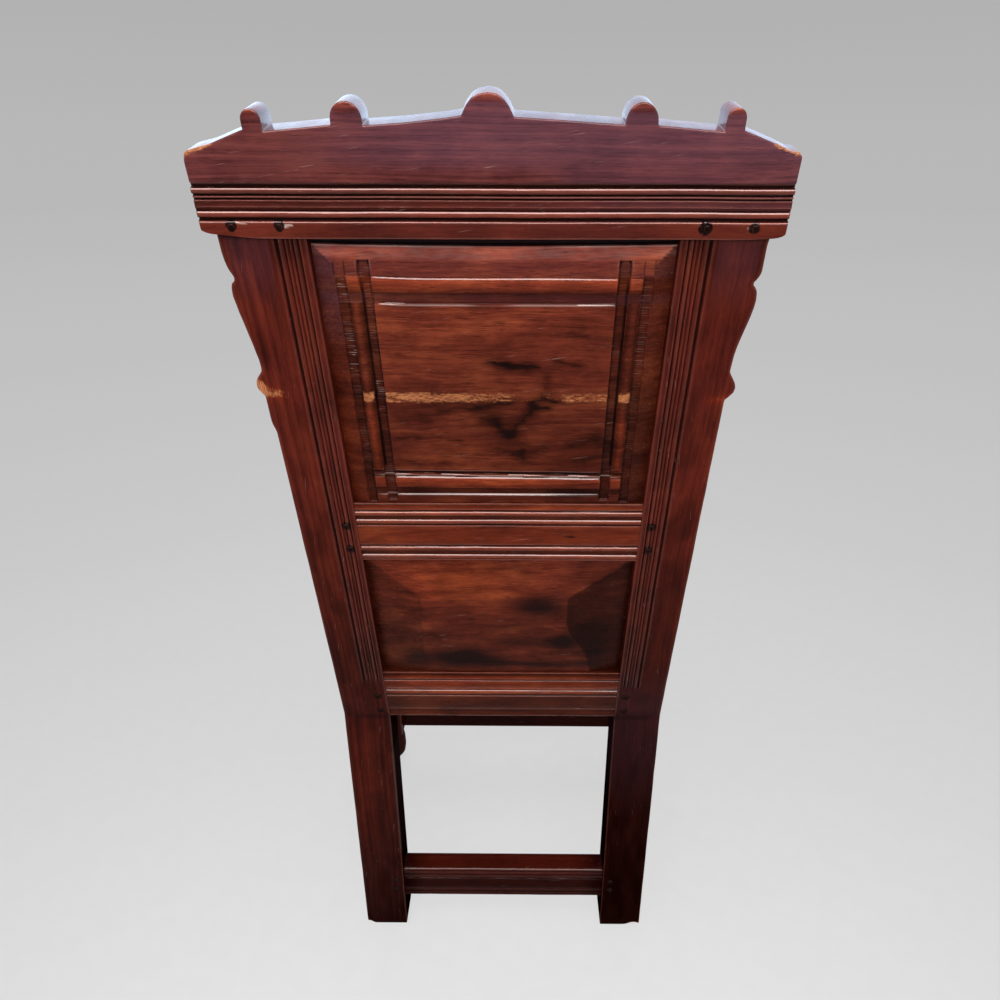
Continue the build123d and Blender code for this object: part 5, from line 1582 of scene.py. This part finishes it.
# %% [markdown]
# ## Arms
# Each arm is sawn from a thick board, bowed outwards so that a sitter's elbow clears the post, and
# then spokeshaved. It is flat under its round tip, rises to the rear post, and is cut to that post's
# raking face. The tops are rounded by two centuries of hands.
# %% The front of a rear post, where an arm meets it
TURN = (LEAN + KICK) / 2
BEND_FRONT = np.array([BEND_Y - POST_DEEP / cos(TURN) * cos((LEAN - KICK) / 2),
                       BEND_Z + POST_DEEP / cos(TURN) * sin((LEAN - KICK) / 2)])
TOP_FRONT = np.array([BEND_Y + CREST_V * sin(LEAN) - TOP_DEEP * cos(LEAN),
                      BEND_Z + CREST_V * cos(LEAN) + TOP_DEEP * sin(LEAN)])
FRONT_SLOPE = (TOP_FRONT[0] - BEND_FRONT[0]) / (TOP_FRONT[1] - BEND_FRONT[1])
ARM_LEVEL = 698.0
ARM_REAR_Y = BEND_FRONT[0] + (ARM_LEVEL - BEND_FRONT[1]) * FRONT_SLOPE
ARM_BACK_Y = ARM_REAR_Y + 13    # where the arm's curves are measured, a little behind the post's face
ARM_TIP_Y = FRONT_Y - 34.0
print("arms run from y =", round(ARM_TIP_Y, 1), "to", round(ARM_REAR_Y, 1), "mm")

# %% Plan and height of an arm


def arc_through(places):
    """A parabola through three (along, value) places."""
    a, b = np.array(places, float).T
    fit = np.polyfit(a, b, 2)
    return lambda at: np.polyval(fit, at)


def arm_plan():
    """The outline of the sitter's left arm, seen from above, as (x, y)."""
    middle_y = (ARM_BACK_Y + POST_Y) / 2
    y = np.linspace(ARM_REAR_Y, POST_Y, 50)
    outer, inner = [arc_through([(ARM_BACK_Y, a), (middle_y, b), (POST_Y, c)])
                    for a, b, c in ((224.5, 239.5, 274.0), (180.5, 195.5, 214.0))]
    reach = POST_Y - ARM_TIP_Y
    radius = (30.0 ** 2 + reach ** 2) / (2 * reach)
    start = atan2(POST_Y - (ARM_TIP_Y + radius), 30.0)
    turn = np.linspace(start, -pi - start, 50)[1:-1]
    tip = stacked((POST_X + radius * np.cos(turn), ARM_TIP_Y + radius + radius * np.sin(turn)))
    return np.vstack([stacked((outer(y), y)), tip, stacked((inner(y), y))[::-1]])


arm_top = arc_through([
    (ARM_TIP_Y - 1, 694.0), ((ARM_TIP_Y + ARM_BACK_Y) / 2, ARM_LEVEL), (ARM_BACK_Y, 714.0)])


def arm_under(p):
    """The underside of an arm: flat on the front post, then rising to the rear."""
    return POST_TOP + 14 * np.clip((p[..., 1] - SIDE_FRONT_Y) / (ARM_BACK_Y - SIDE_FRONT_Y), 0, 1)


def arm_end(p):
    """Cuts the rear end of an arm to the slope of the post."""
    slope = FRONT_SLOPE * ease(p[:, 1], ARM_REAR_Y - 40, ARM_REAR_Y - 8)
    return stacked((p[:, 0], p[:, 1] + (p[:, 2] - ARM_LEVEL) * slope, p[:, 2]))


# %% Saw and round the arms


def arm_wear(local, marks):
    """Elbows and hands have polished the top and the tip."""
    x, y, z = local.T
    top = ease(z, arm_top(y) - 4, arm_top(y) - 0.5)
    marks["shade"] = marks["shade"] * (0.85 + 0.3 * top * ease(y, 20, -220))
    marks["proud"] = marks["proud"] + 0.25 * top
    local[:, 2] -= 1.2 * top * np.exp(-((y + 110) / 70) ** 2)
    return local


for word, side, seed in (("left", 1, 51), ("right", -1, 52)):
    plan = soften(arm_plan(), 1.2, 4.0) * [side, 1]
    board(f"arm_{word}_sawn", plan, arm_under, lambda p: arm_top(p[..., 1]), arm_end, SEAT,
          [f"arm_{word}"], seed=seed, radius=np.where(plan[:, 1] > ARM_REAR_Y - 6, 1.0, 6.0),
          grain=(1, 0), ripple=0.12, edit=arm_wear)

# %% [markdown]
# ## Seat
# Two boards lie across the seat rails, pegged down, with a thumbnail moulding along their front and
# side edges. The rear board is notched round the posts and cut to the lean of the back.
# %% Outlines of the seat boards
SEAT_FRONT_Y = FRONT_Y - 13.0
SEAT_SPLIT_Y = SEAT_FRONT_Y + (BEND_Y - SEAT_FRONT_Y) * 0.48
NOTCH_Y = BEND_FRONT[0] - 0.3
SEAT_REAR_Y = BEND_Y - 29.8 / cos(LEAN)


def seat_side(y):
    """How far out the side edge of the seat lies."""
    return 238.0 + 48.0 * (BEND_FRONT[0] - y) / (BEND_FRONT[0] - SIDE_FRONT_Y)


def both_sides(points):
    """A closed outline from its half on the sitter's left."""
    return np.array(points + [(-x, y) for x, y in points[::-1]], float)


post_rear = SIDE_FRONT_Y + 0.3
split_side = seat_side(SEAT_SPLIT_Y)
front_seat_line = both_sides([
    (0.01, SEAT_FRONT_Y), (214.7, SEAT_FRONT_Y), (214.7, post_rear), (seat_side(post_rear), post_rear),
    (split_side, SEAT_SPLIT_Y - 0.3), (0.01, SEAT_SPLIT_Y - 0.3)])
rear_seat_line = both_sides([
    (0.01, SEAT_SPLIT_Y), (split_side, SEAT_SPLIT_Y), (seat_side(NOTCH_Y), NOTCH_Y),
    (159.7, NOTCH_Y), (159.7, SEAT_REAR_Y), (0.01, SEAT_REAR_Y)])
print("the boards meet at y =", round(SEAT_SPLIT_Y, 1), "mm")

# %% Wear and cuts of the seat


def thumbnail(line):
    """The rounding at each point of an outline: wide along the front and the sides."""
    x, y = line.T
    outside = (y < SEAT_FRONT_Y + 1) | (np.abs(x) > seat_side(y) - 1.5)
    return np.convolve(np.pad(np.where(outside, 5.0, 1.0), 2, "wrap"), np.ones(5) / 5, "valid")


def seat_wear(local, marks):
    """Where sitters slide, the boards are dished and paler."""
    x, y, z = local.T
    sat = spot(x, y, 0, -90, 130, 110) * ease(z, 455, 461)
    local[:, 2] -= 1.6 * sat
    marks["shade"] = marks["shade"] * (0.9 + 0.2 * sat)
    return local


def lean_rear(p):
    """Cuts the rear edge of the seat to the lean of the back."""
    y = p[:, 1] + (p[:, 2] - BEND_Z) * np.tan(LEAN) * ease(p[:, 1], SEAT_REAR_Y - 14, SEAT_REAR_Y - 4)
    return stacked((p[:, 0], y, p[:, 2]))


# %% Lay the seat boards
SEAT_UNDER, SEAT_TOP = flat_at(BEND_Z), flat_at(BEND_Z + 22)
for word, line, seed in (("front", front_seat_line, 61), ("rear", rear_seat_line, 62)):
    line = soften(line, 0.7, 6.0)
    board(f"{word}_seat_board_laid", line, SEAT_UNDER, SEAT_TOP, lean_rear, SEAT, [f"{word}_seat_board"],
          seed=seed, radius=thumbnail(line), spacing=9.0, ripple=0.14, edit=seat_wear)

# %% [markdown]
# ## Pegs
# Each joint is held by riven oak pegs: not round, but shaved to rough facets and driven through, then
# trimmed nearly flush. Their places are read from the solids, which keeps each peg in its own hole.
# %% Read where the pegs are


def islands(node):
    """The points of each separate peg of a node, in millimetres, in the order of its mesh."""
    work = bmesh.new()
    work.from_mesh(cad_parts[node].data)
    bmesh.ops.remove_doubles(work, verts=work.verts, dist=1e-5)
    seen, found = set(), []
    for first in work.verts:
        if first in seen:
            continue
        seen.add(first)
        edge, island = [first], []
        while edge:
            vert = edge.pop()
            island.append(vert.co[:])
            near = [link.other_vert(vert) for link in vert.link_edges]
            near = [other for other in near if other not in seen]
            seen.update(near)
            edge += near
        found.append(np.array(island) / MM)
    work.free()
    return found


def peg_place(points):
    """The middle, direction, half length and radius of a peg."""
    centre = points.mean(0)
    direction = np.linalg.svd(points - centre, full_matrices=False)[2][0]
    direction = direction * np.sign(direction[np.abs(direction).argmax()])
    along = (points - centre) @ direction
    centre = centre + direction * (along.max() + along.min()) / 2
    beside = points - centre - np.outer((points - centre) @ direction, direction)
    return centre, direction, (along.max() - along.min()) / 2, np.linalg.norm(beside, axis=1).max()


# %% Shave the pegs
PEG_ENDS = [(0.0, 0.3), (0.02, 0.58), (0.12, 0.8), (0.32, 0.93), (0.7, 0.99), (1.6, 1.0)]
PEG_POINTS, FLATS = 27, 8


def shave_pegs(node, seed):
    """The pegs of one node, each with its own facets and domed ends."""
    chance = np.random.default_rng(seed)
    points, faces, grain, proud = [], [], [], []
    turn = np.linspace(0, 2 * pi, PEG_POINTS, endpoint=False)
    for centre, direction, half_length, radius in map(peg_place, islands(node)):
        side_way = np.cross(direction, (0.3, 0.8, 0.52))
        side_way /= np.linalg.norm(side_way)
        other_way = np.cross(direction, side_way)
        flats = np.sort(chance.uniform(0, 2 * pi, FLATS))
        facet = np.min([0.93 / np.clip(np.cos(turn - f), 0.2, 1) for f in flats], axis=0).clip(0.88, 1)
        rings = [(a - half_length, k) for a, k in PEG_ENDS]
        rings += [(half_length - a, k) for a, k in PEG_ENDS[::-1]]
        first = sum(len(p) for p in points)
        for s, k in rings:
            a, b = radius * facet * k * np.cos(turn), radius * facet * k * np.sin(turn)
            dome = 0.12 * waver((a, b), 2.0, seed) * (abs(s) > half_length - 1)
            at = s - np.sign(s) * np.abs(dome)
            ring = np.outer(at, direction) + np.outer(a, side_way) + np.outer(b, other_way)
            points.append(centre + ring)
            grain.append(stacked((at, a + 90 * seed + first, b)))
            proud.append(np.full(PEG_POINTS, 0.7 if 0.7 < k < 1 else 0.0))
        faces += around(len(rings), PEG_POINTS, first)
    marks = {"proud": np.concatenate(proud)}
    return piece(f"{node}_riven", np.vstack(points), faces, np.vstack(grain), marks, PEG, [node])


for seed, node in enumerate(sorted(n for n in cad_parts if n.endswith("_pegs"))):
    shave_pegs(node, 70 + seed)

# %% [markdown]
# ## Camera
# The camera stands behind the chair and looks down on its crest. It is placed by three turns from
# looking level towards the sitter's front: down, a little to one side, and a slight roll. Its frame is
# shifted a little sideways, which moves the view without turning the camera.
# %% Place the camera


def put(name, data):
    """A camera or a lamp, put into the scene."""
    made = bpy.data.objects.new(name, data)
    bpy.context.scene.collection.objects.link(made)
    return made


def aim(place, down, turn, roll, lens, shift):
    """A camera at a place in metres, turned by three angles; lens in millimetres."""
    data = bpy.data.cameras.new("camera")
    data.lens, data.sensor_width, data.shift_x = lens, 36, shift
    made = put("camera", data)
    ahead, right, up = Vector((0, -1, 0)), Vector((-1, 0, 0)), Vector((0, 0, 1))
    ahead, right = cos(turn) * ahead + sin(turn) * right, cos(turn) * right - sin(turn) * ahead
    ahead, up = cos(down) * ahead - sin(down) * up, cos(down) * up + sin(down) * ahead
    right, up = cos(roll) * right + sin(roll) * up, cos(roll) * up - sin(roll) * right
    made.matrix_world = Matrix.Translation(place) @ Matrix((right, up, -ahead)).transposed().to_4x4()
    return made


camera = aim((-0.0232, 0.9362, 1.1654), down=radians(25.654), turn=radians(-0.28),
             roll=radians(0.1425), lens=26.283, shift=-0.01608)
bpy.context.scene.camera = camera
print("camera at", [round(c, 3) for c in camera.location])

# %% [markdown]
# ## Floor and light
# The floor is pale and plain, and a little darker with distance, as a studio floor is. It runs out to
# the horizon, where the world takes over in the same tone. Camera and gloss see the floor's tone as
# it is written, more so far away, so that the backdrop is smooth while the floor keeps the shadow
# near the chair.
# %% Floor
FLOOR_CENTRE = (0.0, 0.94, 0.0)     # the floor is palest below this place, in metres
FADE = 20.0                     # the ramp below runs over this many metres
floor_greys = (
    (0.0, 232), (0.035, 229), (0.042, 224.5), (0.053, 219), (0.067, 213.5), (0.085, 209),
    (0.122, 202), (0.18, 197), (0.25, 193.5), (0.55, 188), (1.0, 185),
)


def grey(level):
    return tone(level, level, level)


def floor_finish():
    """A matt pale floor, with the faintest speckle."""
    f = Finish("floor_finish")
    place = f.add("NewGeometry", {}, "Position")
    reach = f.length(f.vectors("SUBTRACT", place, FLOOR_CENTRE))
    near = f.ramp(f.maths("MULTIPLY", reach, 1 / FADE), [(at, grey(level)) for at, level in floor_greys])
    speckle = f.noise(f.stretch(place, (30.0, 30.0, 30.0)))
    near = f.blend(f.between(speckle, 0.3, 0.7, 0.0, 0.03), near, grey(170))
    f.join(near, f.shader.inputs["Base Color"])
    f.shader.inputs["Roughness"].default_value = 0.9
    f.shader.inputs["Specular IOR Level"].default_value = 0.1
    seen = [f.add("LightPath", {}, f"Is {ray} Ray") for ray in ("Camera", "Glossy")]
    far = f.maths("MULTIPLY", f.maths("MAXIMUM", *seen), f.between(reach, 1.6, 3.4, 0.86, 1.0))
    glow = f.add("Emission", {"Color": near, "Strength": 1.0})
    f.join(f.add("MixShader", {0: far, 1: f.shader.outputs[0], 2: glow}),
           f.tree.nodes["Material Output"].inputs[0])
    return f.material


FLOOR_RADII, FLOOR_SIDES, JUST_BELOW = (0.8, 3, 12, 60), 96, -0.0003
floor_mesh = bpy.data.meshes.new("studio_floor")
turns = np.linspace(0, 2 * pi, FLOOR_SIDES, endpoint=False)
floor_rings = [(r * cos(t), r * sin(t), JUST_BELOW) for r in FLOOR_RADII for t in turns]
floor_faces = around(len(FLOOR_RADII), FLOOR_SIDES, ends=False) + [list(range(FLOOR_SIDES))]
floor_mesh.from_pydata(floor_rings, [], floor_faces)
floor = put("studio_floor", floor_mesh)
face_outwards(floor_mesh)
floor_mesh.materials.append(floor_finish())

# %% [markdown]
# The world has two tones, chosen by the kind of ray. Camera and gloss see a plain backdrop, a little
# darker higher up; everything else is lit by an even white sky at half strength.
# %% World
HORIZON, HIGH_UP, EVEN_LIGHT = (0.0, 184.5), (0.15, 177), 0.5
world = bpy.data.worlds.new("studio")
bpy.context.scene.world = world
world.use_nodes = True
sky = world.node_tree
seen, lit = sky.nodes["Background"], sky.nodes.new("ShaderNodeBackground")
way, parts, rise = [sky.nodes.new("ShaderNode" + k) for k in ("TexCoord", "SeparateXYZ", "ValToRGB")]
for stop, (at, level) in zip(rise.color_ramp.elements, (HORIZON, HIGH_UP)):
    stop.position, stop.color = at, grey(level)
lit.inputs["Color"].default_value = (1.0, 1.0, 1.0, 1.0)
lit.inputs["Strength"].default_value = EVEN_LIGHT
path, either, mix = [sky.nodes.new("ShaderNode" + k) for k in ("LightPath", "Math", "MixShader")]
either.operation = "MAXIMUM"
for output, socket in (
        (way.outputs["Generated"], parts.inputs[0]), (parts.outputs["Z"], rise.inputs[0]),
        (rise.outputs[0], seen.inputs["Color"]), (path.outputs["Is Camera Ray"], either.inputs[0]),
        (path.outputs["Is Glossy Ray"], either.inputs[1]), (either.outputs[0], mix.inputs[0]),
        (lit.outputs[0], mix.inputs[1]), (seen.outputs[0], mix.inputs[2]),
        (mix.outputs[0], sky.nodes["World Output"].inputs[0])):
    sky.links.new(output, socket)

# %% [markdown]
# Three broad lamps shape the chair: overhead, behind it and in front of it. Two weak ones stand at
# its sides. The last two are seen only by gloss: a warm skylight that draws the bright line along
# each waxed reed, and a cool window that gives a pale edge to surfaces that face up. The broad lamps
# are hidden from gloss, or each would leave its own bright spot.
# %% Lamps


def lamp(name, place, target, size, power, colour=(1, 1, 1)):
    """A rectangular soft lamp that faces a target; places in metres, power in watts."""
    data = bpy.data.lights.new(name, "AREA")
    data.shape, data.size, data.size_y = "RECTANGLE", *size
    data.energy, data.color = power, colour
    made = put(name, data)
    made.location = place
    made.rotation_euler = (Vector(target) - Vector(place)).to_track_quat("-Z", "Y").to_euler()
    return made


WARM_WHITE, COOL_WHITE = (1.0, 0.85, 0.81), (0.55, 0.74, 1.0)
for made in (
        lamp("overhead_lamp", (0.1, 1.1, 2.7), (0, 0.1, 0.6), (1.7, 0.6), 20),
        lamp("rear_lamp", (0.2, 3.0, 2.3), (0, 0.1, 0.8), (2.4, 1.8), 44),
        lamp("front_lamp", (0, -2.6, 2.4), (0, 0, 0.6), (2.4, 1.4), 40)):
    made.visible_glossy = False
lamp("left_lamp", (2.4, 0.7, 1.8), (0, 0, 0.8), (0.8, 1.4), 9)
lamp("right_lamp", (-2.4, 0.7, 1.8), (0, 0, 0.8), (0.8, 1.4), 7)
for made in (
        lamp("skylight_gloss", (0, 1.7, 2.7), (0, 0.2, 1.0), (3.2, 2.2), 290, WARM_WHITE),
        lamp("window_gloss", (0, -2.6, 1.9), (0, 0.2, 1.1), (6.5, 2.6), 100, COOL_WHITE)):
    made.visible_diffuse = False
print("lamps:", [light.name for light in bpy.data.lights])
bpy.context.scene.view_settings.view_transform = "Standard"
